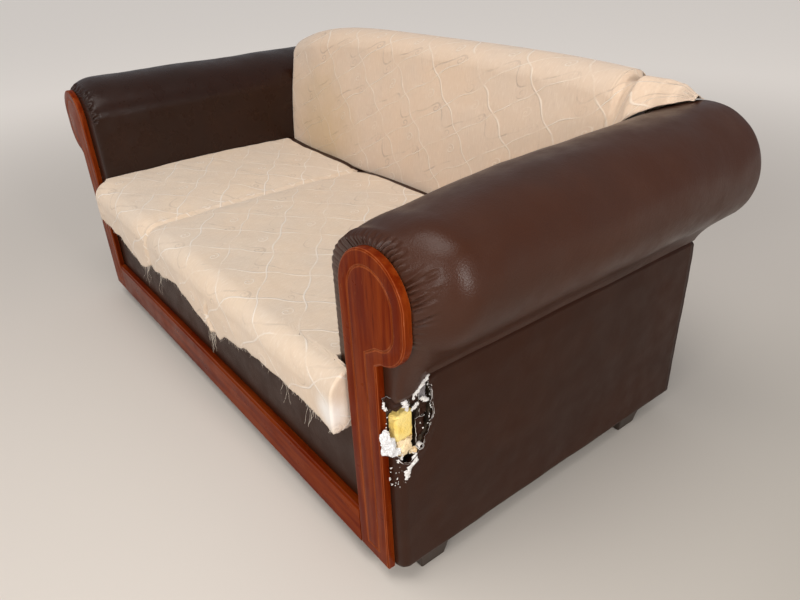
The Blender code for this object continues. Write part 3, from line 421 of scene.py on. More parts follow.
YELLOW_FOAM = foam("yellow_foam", (0.88, 0.62, 0.16), (0.90, 0.70, 0.26))
PEACH_FOAM = foam("peach_foam", (0.86, 0.60, 0.30), (0.90, 0.72, 0.46))
WADDING = plain("white_wadding", (0.86, 0.85, 0.84), (0.72, 0.70, 0.70), 160.0, 0.9, 0.002)
# The padding is painted near black: painted shade, for the padding seen deep in the torn hole.
PADDING_PAINTED_SHADE = foam("padding_painted_shade", (0.030, 0.022, 0.017), (0.085, 0.060, 0.040))
GREY_SKIN = plain("rubbed_skin", (0.10, 0.085, 0.085), (0.26, 0.235, 0.24), 260.0, 0.6, 0.0012)
BACKING = plain("white_backing", (0.86, 0.84, 0.81), (0.64, 0.59, 0.56), 240.0, 0.85, 0.0006)
PINE = plain("pine_board", (0.55, 0.36, 0.18), (0.66, 0.47, 0.27), 1.0, 0.7, 0.0006, 0.0, (5, 60, 60))
DARK_WOOD = plain("dark_foot_wood", (0.022, 0.011, 0.006), (0.038, 0.020, 0.012), 1.0, 0.42, 0.0005, 0.0, (50, 50, 9))
# The hardboard is painted dark brown: painted shade, where it is seen through the torn hole.
HARDBOARD_PAINTED_SHADE = plain("hardboard_painted_shade", (0.045, 0.027, 0.018), (0.075, 0.046, 0.030), 90.0, 0.8, 0.0003)
BLACK_CLOTH = plain("black_under_cloth", (0.012, 0.012, 0.012), (0.022, 0.021, 0.020), 400.0, 0.95, 0.0005)
FELT = plain("grey_felt", (0.28, 0.27, 0.25), (0.42, 0.40, 0.37), 220.0, 0.95, 0.001)
SPRING_STEEL = plain("spring_steel", (0.30, 0.30, 0.31), (0.45, 0.44, 0.42), 120.0, 0.35, 0.0001, 0.9)
print("plain finishes:", len(bpy.data.materials), "materials so far")

# %% [markdown]
# ## Placing a piece
# A new piece has its shape in its mesh, its object at the origin, and rides on the one body that
# the sofa is. `sheet_of` bends a flat grid: each of its points goes where a function puts it, and
# keeps its flat place as a UV, in metres. A real cover is cut flat and bent over its padding in
# just this way.

# %% Piece helpers


def add_piece(name, bm, finishes, replaces=(), smooth=True):
    mesh = bpy.data.meshes.new(name)
    bm.to_mesh(mesh)
    bm.free()
    for finish in finishes:
        mesh.materials.append(finish)
    if smooth:
        mesh.shade_smooth()
    piece = bpy.data.objects.new(name, mesh)
    bpy.context.scene.collection.objects.link(piece)
    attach(piece, "root")
    if replaces:
        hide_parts(*replaces)
    print("%-22s %6d faces" % (name, len(mesh.polygons)))
    return piece


def sheet_of(across, along, place):
    """A grid of points, each moved by place(u, v), which gives the point and its flat coordinates."""
    bm = bmesh.new()
    bmesh.ops.create_grid(bm, x_segments=across, y_segments=along, size=0.5)
    flat = {}
    for vert in bm.verts:
        point, flat[vert] = place(vert.co.x + 0.5, vert.co.y + 0.5)
        vert.co = point
    layer = bm.loops.layers.uv.new("flat")
    for face in bm.faces:
        for loop in face.loops:
            loop[layer].uv = flat[loop.vert]
    return bm


def face_towards(bm, direction):
    """Turn an open sheet's faces over if most of them look away from a direction."""
    total = sum((f.normal * f.calc_area() for f in bm.faces), Vector())
    if total.dot(Vector(direction)) < 0:
        bmesh.ops.reverse_faces(bm, faces=bm.faces)


def thicken(piece, thickness, back=0, rim=0):
    """Give a sheet its thickness, on the side away from where its faces look."""
    change = piece.modifiers.new("thickness", "SOLIDIFY")
    change.thickness = thickness
    change.offset = -1.0
    change.material_offset = back
    change.material_offset_rim = rim


def wobble(point, scale, size):
    """Smooth unevenness at a point, from -size to size."""
    return noise.noise(Vector(point) * scale) * size


# %% [markdown]
# ## The arm rolls
# Each arm is foam in a leather cover that is drawn in and gathered behind the wooden head. One
# section of the cover runs up the arm's inner face, over the roll and down to the seam with the
# side panel. Near the facing the section shrinks to the head's own outline, and the spare leather
# falls into pleats. A pleat is one crease that starts at the facing and fades out over the roll. The
# near arm's pleats are listed one by one, because the picture shows each of them: fine ones over the
# head, a group of deep ones at its shoulder, one long fold with a knot, and two pairs under it.

# %% Arm sections
GATHER_LENGTH = 0.085
LEG_SWELL = 0.09
LEG_SHARE = 0.20
ARC_SHARE = 0.88
ARC_SWEEP = 222
ARC_RADIUS = 0.105
SINK = {1: (0.124, 0.650), -1: (0.105, 0.637)}
CORNER = 0.012
SEAM_TUCK = 0.005
DROOP = 0.024
REAR_FULLNESS = 0.010
FRONT_SAG = 0.024


def arm_point(side, u, grown, leg_grown, inset):
    """A point of the cover's section, in (x, z) for the right arm, and which way is out there."""
    rise, centre_z = SINK[side]
    leg_x = INNER - leg_grown * (INNER - ARM_INNER) + inset
    cx = mix(HEAD_X, ROLL_X, grown)
    cz = mix(HEAD_Z, centre_z, grown)
    outer = mix(HEAD_RADIUS, ROLL_OUTER_HALF, grown) - inset
    rz = mix(HEAD_RADIUS, rise, grown) - inset

    def on_arc(angle):
        a = math.radians(angle)
        rx = cx - leg_x if math.cos(a) < 0 else outer
        return (cx + rx * math.cos(a), cz + rz * math.sin(a)), (math.cos(a), math.sin(a))

    if u < LEG_SHARE:
        return (leg_x, mix(ARM_FOOT, cz, u / LEG_SHARE)), (-1.0, 0.0)
    if u < ARC_SHARE:
        return on_arc(arc_angle(u))
    (ax, az), out = on_arc(180 - ARC_SWEEP)
    sx, sz = SIDE_X + 0.003 - inset, SEAM_Z + 0.0005
    t = (u - ARC_SHARE) / (1 - ARC_SHARE)
    x = (1 - t) ** 2 * ax + 2 * t * (1 - t) * (sx + 0.010) + t * t * sx
    z = (1 - t) ** 2 * az + 2 * t * (1 - t) * (sz + 0.040) + t * t * sz
    return (x, z), (mix(out[0], 1.0, t), mix(out[1], 0.0, t))


def arc_angle(u):
    return 180 - ARC_SWEEP * (u - LEG_SHARE) / (ARC_SHARE - LEG_SHARE)


# %% [markdown]
# A crease is written as its angle round the head in degrees, then its depth, half width and reach in
# millimetres, and its lean. The far arm gets random ones, since only its gathered edge is seen.

# %% Creases
NEAR_CREASES = [
    (176, 3.0, 1.6, 12, 0.0), (166, 3.5, 1.8, 13, 0.1), (157, 3.0, 1.6, 12, -0.1), (149, 3.5, 1.7, 14, 0.0),
    (141, 3.0, 1.4, 16, 0.0), (131, 4.5, 1.1, 30, 0.1), (125, 2.2, 1.2, 13, 0.0), (120, 2.8, 1.3, 15, 0.1),
    (115, 2.0, 1.2, 12, 0.0), (109, 3.0, 1.4, 17, 0.0), (104, 2.2, 1.2, 14, -0.1), (98, 3.2, 1.5, 18, 0.1),
    (92, 2.6, 1.3, 15, 0.0), (86, 3.8, 1.4, 16, 0.1), (80, 6.0, 1.6, 20, 0.2), (74, 7.0, 1.8, 20, 0.25),
    (68, 5.5, 1.6, 15, 0.2), (62, 6.5, 1.8, 17, 0.2), (56, 4.0, 1.6, 12, 0.15), (50, 4.0, 1.8, 11, 0.1),
    (43, 3.5, 1.9, 13, 0.0), (35, 7.5, 2.3, 30, 0.05), (30, 8.5, 2.3, 34, 0.0), (25, 5.5, 2.0, 22, -0.05),
    (17, 5.0, 1.5, 20, -0.25), (12, 5.5, 1.4, 24, -0.3), (8, 3.5, 1.4, 13, -0.2), (-4, 5.0, 1.5, 26, -0.4),
    (-9, 4.5, 1.5, 24, -0.45), (-20, 2.5, 1.8, 14, -0.2), (-32, 2.0, 1.8, 12, 0.0)]


CREASE_STRENGTH = 1.5


def crease_table(rows):
    """The rows as (distance round the section, depth, half width, reach, lean), in metres."""
    return [(math.radians(180 - a) * ARC_RADIUS, CREASE_STRENGTH * d / 1000, w / 1000, r / 1000, lean)
            for a, d, w, r, lean in rows]


def random_creases(seed):
    pick = random.Random(seed)
    rows = []
    angle = 178.0
    while angle > -35:
        depth = pick.uniform(2.0, 6.0)
        rows.append((angle, depth, 1.0 + depth * 0.22, 8 + depth * pick.uniform(3, 5), pick.uniform(-0.2, 0.2)))
        angle -= pick.uniform(5, 11)
    return rows


def leg_creases(seed):
    """Short tucks down the arm's inner edge: they lie below the head, at negative distances."""
    pick = random.Random(seed)
    return [(-0.012 - 0.0105 * i + pick.uniform(-0.002, 0.002), pick.uniform(0.0015, 0.0032), 0.0019,
             pick.uniform(0.010, 0.018), 0.0) for i in range(24)]


def pleat_depth(creases, round_it, ahead):
    """How deep the gathers are at a place round the section, at a distance behind the facing."""
    total = 0.0
    for start, depth, width, reach, lean in creases:
        if ahead > reach:
            continue
        away = abs(round_it - start - lean * ahead)
        spread = width * (1 + 1.2 * ahead / reach)
        if away < 5 * spread:
            fade = min(1.0, 1.35 * (1 - ahead / reach))
            crease = math.exp(-away / spread)
            puff = 0.30 * math.exp(-((away - 2.4 * spread) / spread) ** 2)
            total += depth * fade * (crease - puff)
    return total


KNOT_ROUND = math.radians(180 - 33) * ARC_RADIUS
KNOT_AHEAD = 0.024


def knot(round_it, ahead):
    """The swirl in the long fold: rings that fade with the distance from its eye."""
    away = math.hypot((round_it - KNOT_ROUND) * 1.6, ahead - KNOT_AHEAD)
    return 0.0016 * math.exp(-(away / 0.010) ** 2) * math.cos(away / 0.0021)


# %% [markdown]
# The rows of the grid are close together at the gathers and far apart along the roll, where the
# cover is smooth. The first rows close the arm's front behind the facing, round a soft corner. At
# the rear the section turns in to a flat end with a soft edge. On the near arm the lower edge has
# come off its seam beside the tear and droops.

# %% Arm rows
END_ROUND = 0.026
END_RINGS = 7
CAP_ROWS = 5


def arm_depths(fine, along_roll):
    """The rows of the grid as (depth, inset, how far the row is drawn in behind the facing)."""
    rows = [(BEHIND_FACING + 0.0006, 0.0, 1 - i / CAP_ROWS) for i in range(CAP_ROWS)]
    rows += [(BEHIND_FACING + 0.0008 + 0.090 * (i / fine) ** 1.15, 0.0, 0.0) for i in range(fine)]
    start = rows[-1][0]
    rows += [(mix(start, ROLL_REAR - END_ROUND, i / along_roll), 0.0, 0.0) for i in range(1, along_roll + 1)]
    for i in range(1, 9):
        a = math.radians(90 * i / 8)
        rows.append((ROLL_REAR - END_ROUND * (1 - math.sin(a)), END_ROUND * (1 - math.cos(a)), 0.0))
    return rows


def front_corner(ahead):
    """How far the cover's lower front turns in round its corner."""
    left = max(0.0, CORNER - ahead)
    return CORNER - math.sqrt(CORNER * CORNER - left * left)


def make_arm(side, word, across, rows, creases):
    leg_rear = PANEL_REAR - 0.006
    centre_z = SINK[side][1]
    near = side > 0

    def place(u, v):
        row = round(v * (len(rows) + END_RINGS - 1))
        shrink = max(0, row - len(rows) + 1) / END_RINGS
        depth, inset, cap = rows[min(row, len(rows) - 1)]
        ahead = depth - BEHIND_FACING
        s = min(1.0, max(0.0, ahead / GATHER_LENGTH))
        grown = 1 - (1 - s) ** 2.5
        (x, z), (ox, oz) = arm_point(side, u, grown, smoothstep(s / LEG_SWELL), inset)
        round_it = (u - LEG_SHARE) / (ARC_SHARE - LEG_SHARE) * math.radians(ARC_SWEEP) * ARC_RADIUS
        if u < LEG_SHARE:
            round_it = (u / LEG_SHARE - 1) * (HEAD_Z - ARM_FOOT)
        lower = smoothstep((u - 0.86) / 0.06)
        collar = 0.0045 * math.exp(-((ahead - 0.016) / 0.009) ** 2) * math.exp(-((round_it - 0.125) / 0.07) ** 2)
        push = collar - pleat_depth(creases, round_it, ahead) - lower * front_corner(ahead)
        if near:
            push += knot(round_it, ahead)
        calm = smoothstep(ahead / 0.05) * (1 - shrink)
        if near:
            full = REAR_FULLNESS * smoothstep((depth - 0.45) / 0.35) * max(0.0, oz - 0.3 * ox) ** 2
            sag = FRONT_SAG * (1 - smoothstep((depth - 0.02) / 0.36)) * grown * max(0.0, oz - 0.35 * ox) ** 2
            push += full * (1 - shrink) - sag * (1.0 if ox < 0.6 else 1 - smoothstep((ox - 0.6) / 0.3))
        push += calm * (wobble((x, depth, z + side), 6.0, 0.0030) + wobble((x, depth, z - side), 19.0, 0.0011))
        t = max(0.0, (u - ARC_SHARE) / (1 - ARC_SHARE))
        push -= SEAM_TUCK * smoothstep((t - 0.90) / 0.10)
        x, z = x + ox * push, z + oz * push
        if cap > 0:
            x = mix(mix(x, HEAD_X, 0.25 * cap), mix(x, POST_OUT - 0.010, cap), lower)
            z = mix(mix(z, HEAD_Z, 0.25 * cap), z, lower)
        if near and t > 0:
            hang = smoothstep((ahead + 0.006) / 0.010) * (1 - smoothstep((depth - 0.046) / 0.040))
            z -= DROOP * hang * t * t
            x += 0.004 * hang * t
        if shrink > 0:
            x, z = mix(x, ROLL_X, shrink * 0.98), mix(z, centre_z, shrink * 0.98)
            depth += 0.004 * math.sin(shrink * math.pi / 2)
        if z < SEAM_Z and u < LEG_SHARE:
            depth = min(depth, leg_rear)
        return behind(side * x, depth, z), (round_it, depth)

    bm = sheet_of(across, len(rows) + END_RINGS, place)
    bmesh.ops.remove_doubles(bm, verts=bm.verts, dist=0.00003)
    face_towards(bm, (side * 0.3, 0, 1))
    # The far arm takes the darker copy of the leather, painted shade.
    piece = add_piece("arm_cover_" + word, bm, [LEATHER if near else LEATHER_FAR_PAINTED_SHADE, BACKING], ["arm_roll_" + word])
    return piece


make_arm(-1, "left", 300, arm_depths(40, 22), crease_table(random_creases(10)) + leg_creases(4))
make_arm(1, "right", 620, arm_depths(58, 32), crease_table(NEAR_CREASES) + leg_creases(5))

# %% [markdown]
# ## The wooden facings and the front rail
# Each facing is a flat board cut to the outline of post and head, with its front edge eased and one
# routed line following the edge. The outline comes from the solid's own front face: the copy's
# doubles are merged and its flat triangles dissolved, which gives the board back as a few faces. A
# bevel then rounds the outer edge. The bevel's strip and the groove take a lighter finish, a painted highlight along
# the edge and the line.

# %% Facings and rail
GROOVE_FROM, GROOVE_TO = 0.0020, 0.0024


def copy_of_node(node):
    bm = bmesh.new()
    bm.from_mesh(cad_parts[node].data)
    bmesh.ops.remove_doubles(bm, verts=bm.verts, dist=0.00002)
    bmesh.ops.dissolve_limit(bm, angle_limit=math.radians(0.5), verts=bm.verts, edges=bm.edges)
    return bm


def rounded_board(name, node, finishes, width, angle=24.0, segments=3):
    """A copy of a wooden solid with its sharp edges rounded over and its groove in the second finish."""
    bm = copy_of_node(node)
    for face in bm.faces:
        deepest = max(v.co.y for v in face.verts) - FRONT
        # The groove's faces take the second finish, a painted highlight along the routed line.
        if len(finishes) > 1 and GROOVE_FROM < deepest < GROOVE_TO:
            face.material_index = 1
    piece = add_piece(name, bm, finishes, [node])
    change = piece.modifiers.new("eased edges", "BEVEL")
    change.width = width
    change.segments = segments
    change.limit_method = "ANGLE"
    change.angle_limit = math.radians(angle)
    change.harden_normals = True
    # The bevel's strip takes the last finish. On the facings that is the lighter line finish, a painted highlight
    # along the edge.
    change.material = len(finishes) - 1
    return piece


for word in ("left", "right"):
    rounded_board("facing_board_" + word, "facing_" + word, [LACQUER_UPRIGHT, LACQUER_LINE_PAINTED_HIGHLIGHT], 0.0008)
rounded_board("front_rail_board", "front_rail", [LACQUER_LENGTH], 0.0012)

# %% [markdown]
# ## Side panels
# A side panel is leather over a thin foam sheet and a board, pulled round the front and the bottom
# edge. It is one bent sheet: the flat grid starts behind the post, turns a quarter round at the
# front and another at the bottom. The right panel's front top corner is torn open. Its faces inside
# a ragged outline are removed, and the edge that is left is drawn inwards, as a torn skin folds in
# over its padding.

# %% Side panels
FRONT_TURN = 0.019
BOTTOM_TURN = 0.012
TUCK_BEHIND_POST = 0.020
TEAR_OUTLINE = [(-0.060, 0.040), (-0.060, -0.125), (0.014, -0.132), (0.026, -0.150), (0.040, -0.156),
                (0.056, -0.148), (0.066, -0.136), (0.076, -0.118), (0.084, -0.096), (0.090, -0.072),
                (0.091, -0.046), (0.088, -0.022), (0.084, -0.004), (0.083, 0.040)]
TEAR_MIDDLE = (0.050, -0.075)


def inside(outline, y, z):
    """Is a point inside a closed outline?"""
    crossed = False
    for (y0, z0), (y1, z1) in zip(outline, outline[1:] + outline[:1]):
        if (z0 > z) != (z1 > z) and y < y0 + (z - z0) * (y1 - y0) / (z1 - z0):
            crossed = not crossed
    return crossed


def distance_to(outline, y, z):
    best = 1.0
    for (y0, z0), (y1, z1) in zip(outline, outline[1:] + outline[:1]):
        length2 = (y1 - y0) ** 2 + (z1 - z0) ** 2
        t = min(1.0, max(0.0, ((y - y0) * (y1 - y0) + (z - z0) * (z1 - z0)) / length2))
        best = min(best, math.hypot(y - y0 - t * (y1 - y0), z - z0 - t * (z1 - z0)))
    return best


PANEL_LENGTH = PANEL_REAR - BEHIND_FACING - FRONT_TURN + FRONT_TURN * math.pi / 2
PANEL_DROP = SEAM_Z - SIDE_BOTTOM - BOTTOM_TURN + BOTTOM_TURN * math.pi / 2


def panel_x(depth):
    """How far out the panel's surface is at a depth."""
    left = max(0.0, FRONT_TURN - (depth - BEHIND_FACING))
    return SIDE_X - FRONT_TURN + math.sqrt(max(0.0, FRONT_TURN ** 2 - left ** 2))


def panel_point(side, s, down):
    """A point of the panel at a length s from its front turn and a length down from its seam."""
    x, depth, z = SIDE_X, BEHIND_FACING + FRONT_TURN + s - FRONT_TURN * math.pi / 2, SEAM_Z - down
    if s < 0:
        x, depth = SIDE_X - FRONT_TURN + s, BEHIND_FACING + 0.0006
    elif s < FRONT_TURN * math.pi / 2:
        a = math.pi / 2 - s / FRONT_TURN
        x = SIDE_X - FRONT_TURN * (1 - math.cos(a))
        depth = BEHIND_FACING + 0.0006 + FRONT_TURN * (1 - math.sin(a))
    low = down - (PANEL_DROP - BOTTOM_TURN * math.pi / 2)
    if low > 0:
        a = low / BOTTOM_TURN
        x -= BOTTOM_TURN * (1 - math.cos(a))
        z = SEAM_Z - (PANEL_DROP - BOTTOM_TURN * math.pi / 2) - BOTTOM_TURN * math.sin(a)
    return x, min(depth, PANEL_REAR), z


def fold_rim_in(bm):
    """Draw the torn edge inwards and away from the hole, in three narrow strips."""
    rim = [e for e in bm.edges if e.is_boundary and all(is_by_tear(v) for v in e.verts)]
    for inward, outward in ((0.0015, 0.0020), (0.0050, 0.0035), (0.0100, 0.0020)):
        made = bmesh.ops.extrude_edge_only(bm, edges=rim)["geom"]
        rim = [g for g in made if isinstance(g, bmesh.types.BMEdge) and g.is_boundary]
        for vert in {v for e in rim for v in e.verts}:
            away = Vector((0, vert.co.y - FRONT - TEAR_MIDDLE[0], vert.co.z - SEAM_Z - TEAR_MIDDLE[1])).normalized()
            vert.co += away * outward + Vector((-inward, 0, 0))


def is_by_tear(vert):
    y, z = vert.co.y - FRONT, vert.co.z - SEAM_Z
    return 0.022 < y < 0.11 and -0.18 < z < -0.004 and distance_to(TEAR_OUTLINE, y, z) < 0.010


def make_side_panel(side, word, across, along_it):
    torn = side > 0

    def place(u, v):
        fine = 0.66
        s = mix(-TUCK_BEHIND_POST, 0.115, u / fine) if u < fine else mix(0.115, PANEL_LENGTH, (u - fine) / (1 - fine))
        w = 1 - v
        down = mix(0.0, 0.18, w / fine) if w < fine else mix(0.18, PANEL_DROP, (w - fine) / (1 - fine))
        x, depth, z = panel_point(side, s, down)
        bulge = 0.0030 * smoothstep(down / 0.05) - SEAM_TUCK * (1 - smoothstep(down / 0.007))
        bulge += wobble((depth, z, 3 * side), 7.0, 0.0022) + wobble((depth, z, side), 23.0, 0.0009)
        if torn:
            near = distance_to(TEAR_OUTLINE, depth, z - SEAM_Z)
            if near < 0.020 and depth > 0.02:
                bulge += (1 - near / 0.020) * (0.0022 + wobble((depth, z, 7.0), 55.0, 0.0030))
        return behind(side * (x + bulge * smoothstep((s + 0.004) / 0.02)), depth, z), (s, down)

    bm = sheet_of(across, along_it, place)
    bmesh.ops.remove_doubles(bm, verts=bm.verts, dist=0.00003)
    if torn:
        gone = []
        for face in bm.faces:
            c = face.calc_center_median()
            y = c.y - FRONT + wobble((c.y, c.z, 1.0), 70.0, 0.005) + wobble((c.y, c.z, 3.0), 200.0, 0.002)
            z = c.z - SEAM_Z + wobble((c.y, c.z, 5.0), 70.0, 0.005) + wobble((c.y, c.z, 9.0), 200.0, 0.002)
            if inside(TEAR_OUTLINE, y, z):
                gone.append(face)
        bmesh.ops.delete(bm, geom=gone, context="FACES")
        rim = [v for v in bm.verts if is_by_tear(v) and any(e.is_boundary for e in v.link_edges)]
        for repeat in range(3):
            bmesh.ops.smooth_vert(bm, verts=rim, factor=0.5, use_axis_x=True, use_axis_y=True, use_axis_z=True)
        fold_rim_in(bm)
    face_towards(bm, (side, 0, 0))
    # The side panel's leather is the darker copy, painted shade.
    piece = add_piece("side_cover_" + word, bm, [LEATHER_PANELS_PAINTED_SHADE, BACKING], ["side_skin_" + word])
    thicken(piece, 0.0016, 1, 1)
    return piece


make_side_panel(-1, "left", 70, 60)
make_side_panel(1, "right", 150, 180)

# %% [markdown]
# ## Seat cushions
# Three foam cushions in the same leather lie under the loose cloth. Only their lower front edges
# show, as a dark band under the hem. They are copies of their solids with their edges eased, and
# their ends are drawn in a little under the cloth.

# %% Seat cushions
CUSHION_END = {"left": 0.636, "right": 0.700}
for word in ("left", "middle", "right"):
    bm = copy_of_node("seat_cushion_" + word)
    for vert in bm.verts:
        if abs(vert.co.x) > 0.672:
            vert.co.x = math.copysign(CUSHION_END[word], vert.co.x)
            vert.co.z -= 0.010 if vert.co.z > SEAM_Z - 0.04 else 0.0
    cushion = add_piece("cushion_cover_" + word, bm, [LEATHER_DULL], ["seat_cushion_" + word])
    ease = cushion.modifiers.new("soft edges", "BEVEL")
    ease.width = 0.005
    ease.segments = 3
    ease.limit_method = "ANGLE"
    ease.angle_limit = math.radians(40)

# %% [markdown]
# ## The loose cloth on the seat
# The cloth is in two panels that meet at a raised seam. Each is one sheet: it starts in the crevice
# under the backrest, lies over the cushions, rolls over their front and ends in a ragged hem. At the
# arms its end is tucked down beside the cushion, and at the front it wraps round the cushion's end.
# The line it follows is the cushions' own section, a cloth's thickness above it.

# %% Seat section
SEAT_SEAM_Z = 0.424
SEAT_CROWN = 0.018
SEAT_ARM_RISE = 0.012
SEAT_FRONT = -0.0340
SEAT_ROUND = 0.050
SEAT_SEAM_X = -0.24
STRAIGHT_END = 0.665
FLARE_OUT = {-1: 0.012, 1: 0.050}
WRAP = 0.044
END_CORNER = {-1: 0.036, 1: 0.004}
CUSHION_EDGES = (-STRAIGHT_END, SEAT_SEAM_X, -SEAT_SEAM_X, STRAIGHT_END)
HEM_DROPS = ((-0.70, 0.070), (-0.50, 0.086), (-0.285, 0.124), (-0.225, 0.100), (-0.02, 0.078),
             (0.17, 0.120), (0.215, 0.126), (0.275, 0.098), (0.42, 0.074), (0.60, 0.078), (0.69, 0.092))


def read_curve(table, x):
    for (x0, h0), (x1, h1) in zip(table, table[1:]):
        if x <= x1:
            return mix(h0, h1, smoothstep((x - x0) / (x1 - x0)))
    return table[-1][1]


def seat_section(x):
    """The seat at x: the height of its top, the depth of its front, and the run where it turns down."""
    x = max(-STRAIGHT_END, min(STRAIGHT_END, x))
    for low, high in zip(CUSHION_EDGES, CUSHION_EDGES[1:]):
        if x <= high:
            break
    across = (2 * x - low - high) / (high - low)
    by_arm = (low == CUSHION_EDGES[0] and across < 0) or (high == CUSHION_EDGES[-1] and across > 0)
    spanned = 0 < x < 0.45
    fullness = 1.0 if by_arm or spanned else 1 - across ** 4
    top = SEAT_SEAM_Z + SEAT_CROWN * fullness + (SEAT_ARM_RISE * across ** 2 if by_arm else 0.0) + 0.0035
    front = SEAT_FRONT + 0.010 * (1 - fullness)
    return top, front, SEAT_REAR - front - SEAT_ROUND


def seat_place(x, run):
    """A point on the seat cloth: x across, and run, the length of cloth from the rear edge."""
    top, front, turn_at = seat_section(x)
    angle = min(math.pi / 2, max(0.0, (run - turn_at) / SEAT_ROUND))
    out = 0.0
    if run < turn_at:
        depth, z = SEAT_REAR - run, top + 0.006 * math.sin(math.pi * run / turn_at)
        z -= 0.012 * (1 - smoothstep(run / 0.03))
    elif angle < math.pi / 2:
        depth, z = front + SEAT_ROUND * (1 - math.sin(angle)), top - SEAT_ROUND * (1 - math.cos(angle))
    else:
        fall = run - turn_at - SEAT_ROUND * math.pi / 2
        depth, z = front + 0.05 * fall, top - SEAT_ROUND - fall
        out = smoothstep(fall / 0.03)
    flat = min(abs(x), STRAIGHT_END)
    in_front = 1 - smoothstep((depth - 0.005) / 0.010)
    uneven = wobble((x, depth, z), 9.0, 0.0030) + wobble((x, depth, z + 3), 27.0, 0.0012)
    depth -= out * (0.002 + 0.004 * noise.noise(Vector((x * 14, z * 6, 2.0)))) + uneven * (1 if z < top - 0.02 else 0)
    z += uneven if z >= top - 0.02 else 0.0
    side = 1 if x > 0 else -1
    radius = END_CORNER[side]
    corner = max(0.0, flat - STRAIGHT_END + radius)
    back = (radius - math.sqrt(radius ** 2 - corner ** 2)) * in_front + max(0.0, abs(x) - STRAIGHT_END)
    depth += back * math.sin(angle)
    z -= back * math.cos(angle)
    flare = smoothstep((flat / STRAIGHT_END - 0.6) / 0.4) * (1 - smoothstep((depth - 0.0115) / 0.0035))
    return side * (flat + FLARE_OUT[side] * flare), depth, z


def hem_run(x):
    """Length of cloth from the rear edge to the hem at x."""
    top, front, turn_at = seat_section(x)
    hem = SEAT_SEAM_Z - read_curve(HEM_DROPS, x)
    jag = 0.0018 * math.sin(97 * x) + 0.0013 * math.sin(61 * x + 1.0) + wobble((x, 0, 0), 160.0, 0.0026)
    jag += wobble((x, 2, 0), 480.0, 0.0016)
    return turn_at + SEAT_ROUND * math.pi / 2 + (top - SEAT_ROUND - hem) + jag


# %% [markdown]
# The left panel ends in a folded seam that stands above the right one and throws a shadow on it.
# The right panel has a pinched fold in its front, where two strips of the cloth are joined.

# %% Seat cloth
SEAM_RIDGE = 0.0085
SEAM_LAP = 0.007
JOIN_X = 0.187
JOIN_FOLD = 0.0065


def make_seat_cloth(word, low, high, across, along_it):
    def place(u, v):
        x = mix(low, high, u)
        run = (1 - v) * hem_run(x)
        px, depth, z = seat_place(x, run)
        if word == "left":
            ridge = SEAM_RIDGE * math.exp(-((x - SEAT_SEAM_X + 0.006) / 0.006) ** 2)
            ridge *= 0.8 + 0.3 * noise.noise(Vector((0, run * 22, 4.0)))
            ridge -= 0.0012 * smoothstep((x - SEAT_SEAM_X + 0.001) / SEAM_LAP)
        else:
            ridge = -0.0022 * math.exp(-((x - SEAT_SEAM_X) / 0.012) ** 2)
        if z > SEAT_SEAM_Z - 0.035:
            z += ridge
        else:
            low_down = smoothstep((SEAT_SEAM_Z - 0.030 - z) / 0.03)
            bend = x - JOIN_X - 0.010 * math.sin(50 * z)
            fold = math.exp(-((bend + 0.007) / 0.006) ** 2) - 0.7 * math.exp(-(bend / 0.004) ** 2)
            depth -= ridge + low_down * JOIN_FOLD * fold
        return behind(px, depth, z), (x, -run)

    bm = sheet_of(across, along_it, place)
    face_towards(bm, (0, -0.3, 1))
    piece = add_piece("seat_cloth_panel_" + word, bm, [SEAT_CLOTH], ["seat_cloth_" + word])
    thicken(piece, 0.0016)
    return piece


make_seat_cloth("left", -STRAIGHT_END - WRAP, SEAT_SEAM_X + SEAM_LAP, 150, 170)
make_seat_cloth("right", SEAT_SEAM_X, STRAIGHT_END + WRAP, 250, 190)

# %% [markdown]
# ## The loose cloth over the back
# One sheet hangs from behind the backrest over its top and down to the seat. Its right end is
# loose: it climbs the right arm roll and lifts off it to a corner. The corner is a second grid that
# grows out of the first one's end, and both are welded where they meet.

# %% Back cloth
BACK_LEAN = 0.034
BACK_ROUND = 0.058
SHOULDER_DROP = {-1: 0.058, 1: 0.014}
CLOTH_LIFT = 0.0026
EAR_REACH = 0.136
BACK_ROWS = 120
EAR_ROWS = (34, 88)


def back_profile(x):
    """The backrest's outside at x in (depth, z), from the seat over the top and down behind."""
    top = BACK_TOP + CLOTH_LIFT - SHOULDER_DROP[1 if x > 0 else -1] * abs(x / BACK_END) ** 4
    rear = PANEL_REAR - 0.001
    front_top = BACK_FOOT_Y + BACK_LEAN - CLOTH_LIFT
    middle = (front_top + rear) / 2
    line = [(BACK_FOOT_Y - CLOTH_LIFT, SEAT_SEAM_Z + 0.006)]
    for i in range(1, 9):
        share = 0.7 * i / 8
        z = mix(SEAT_SEAM_Z, top - BACK_ROUND, share)
        line.append((BACK_FOOT_Y - CLOTH_LIFT + BACK_LEAN * share - 0.006 * math.sin(math.pi * share), z))
    for i in range(17):
        a = math.radians(180 - 180 * i / 16)
        reach = middle - front_top if math.cos(a) < 0 else rear - middle
        line.append((middle + reach * math.cos(a), top - BACK_ROUND + BACK_ROUND * math.sin(a)))
    line += [(PANEL_REAR + 0.0008, 0.718), (PANEL_REAR + 0.0008, 0.690 + 0.008 * math.sin(7 * x))]
    return line


def along(line, share):
    """The point at a share of a line's length, and that length."""
    lengths = [math.dist(a, b) for a, b in zip(line, line[1:])]
    left = share * sum(lengths)
    for (a, b), length in zip(zip(line, line[1:]), lengths):
        if left <= length:
            return (mix(a[0], b[0], left / length), mix(a[1], b[1], left / length)), share * sum(lengths)
        left -= length
    return line[-1], sum(lengths)


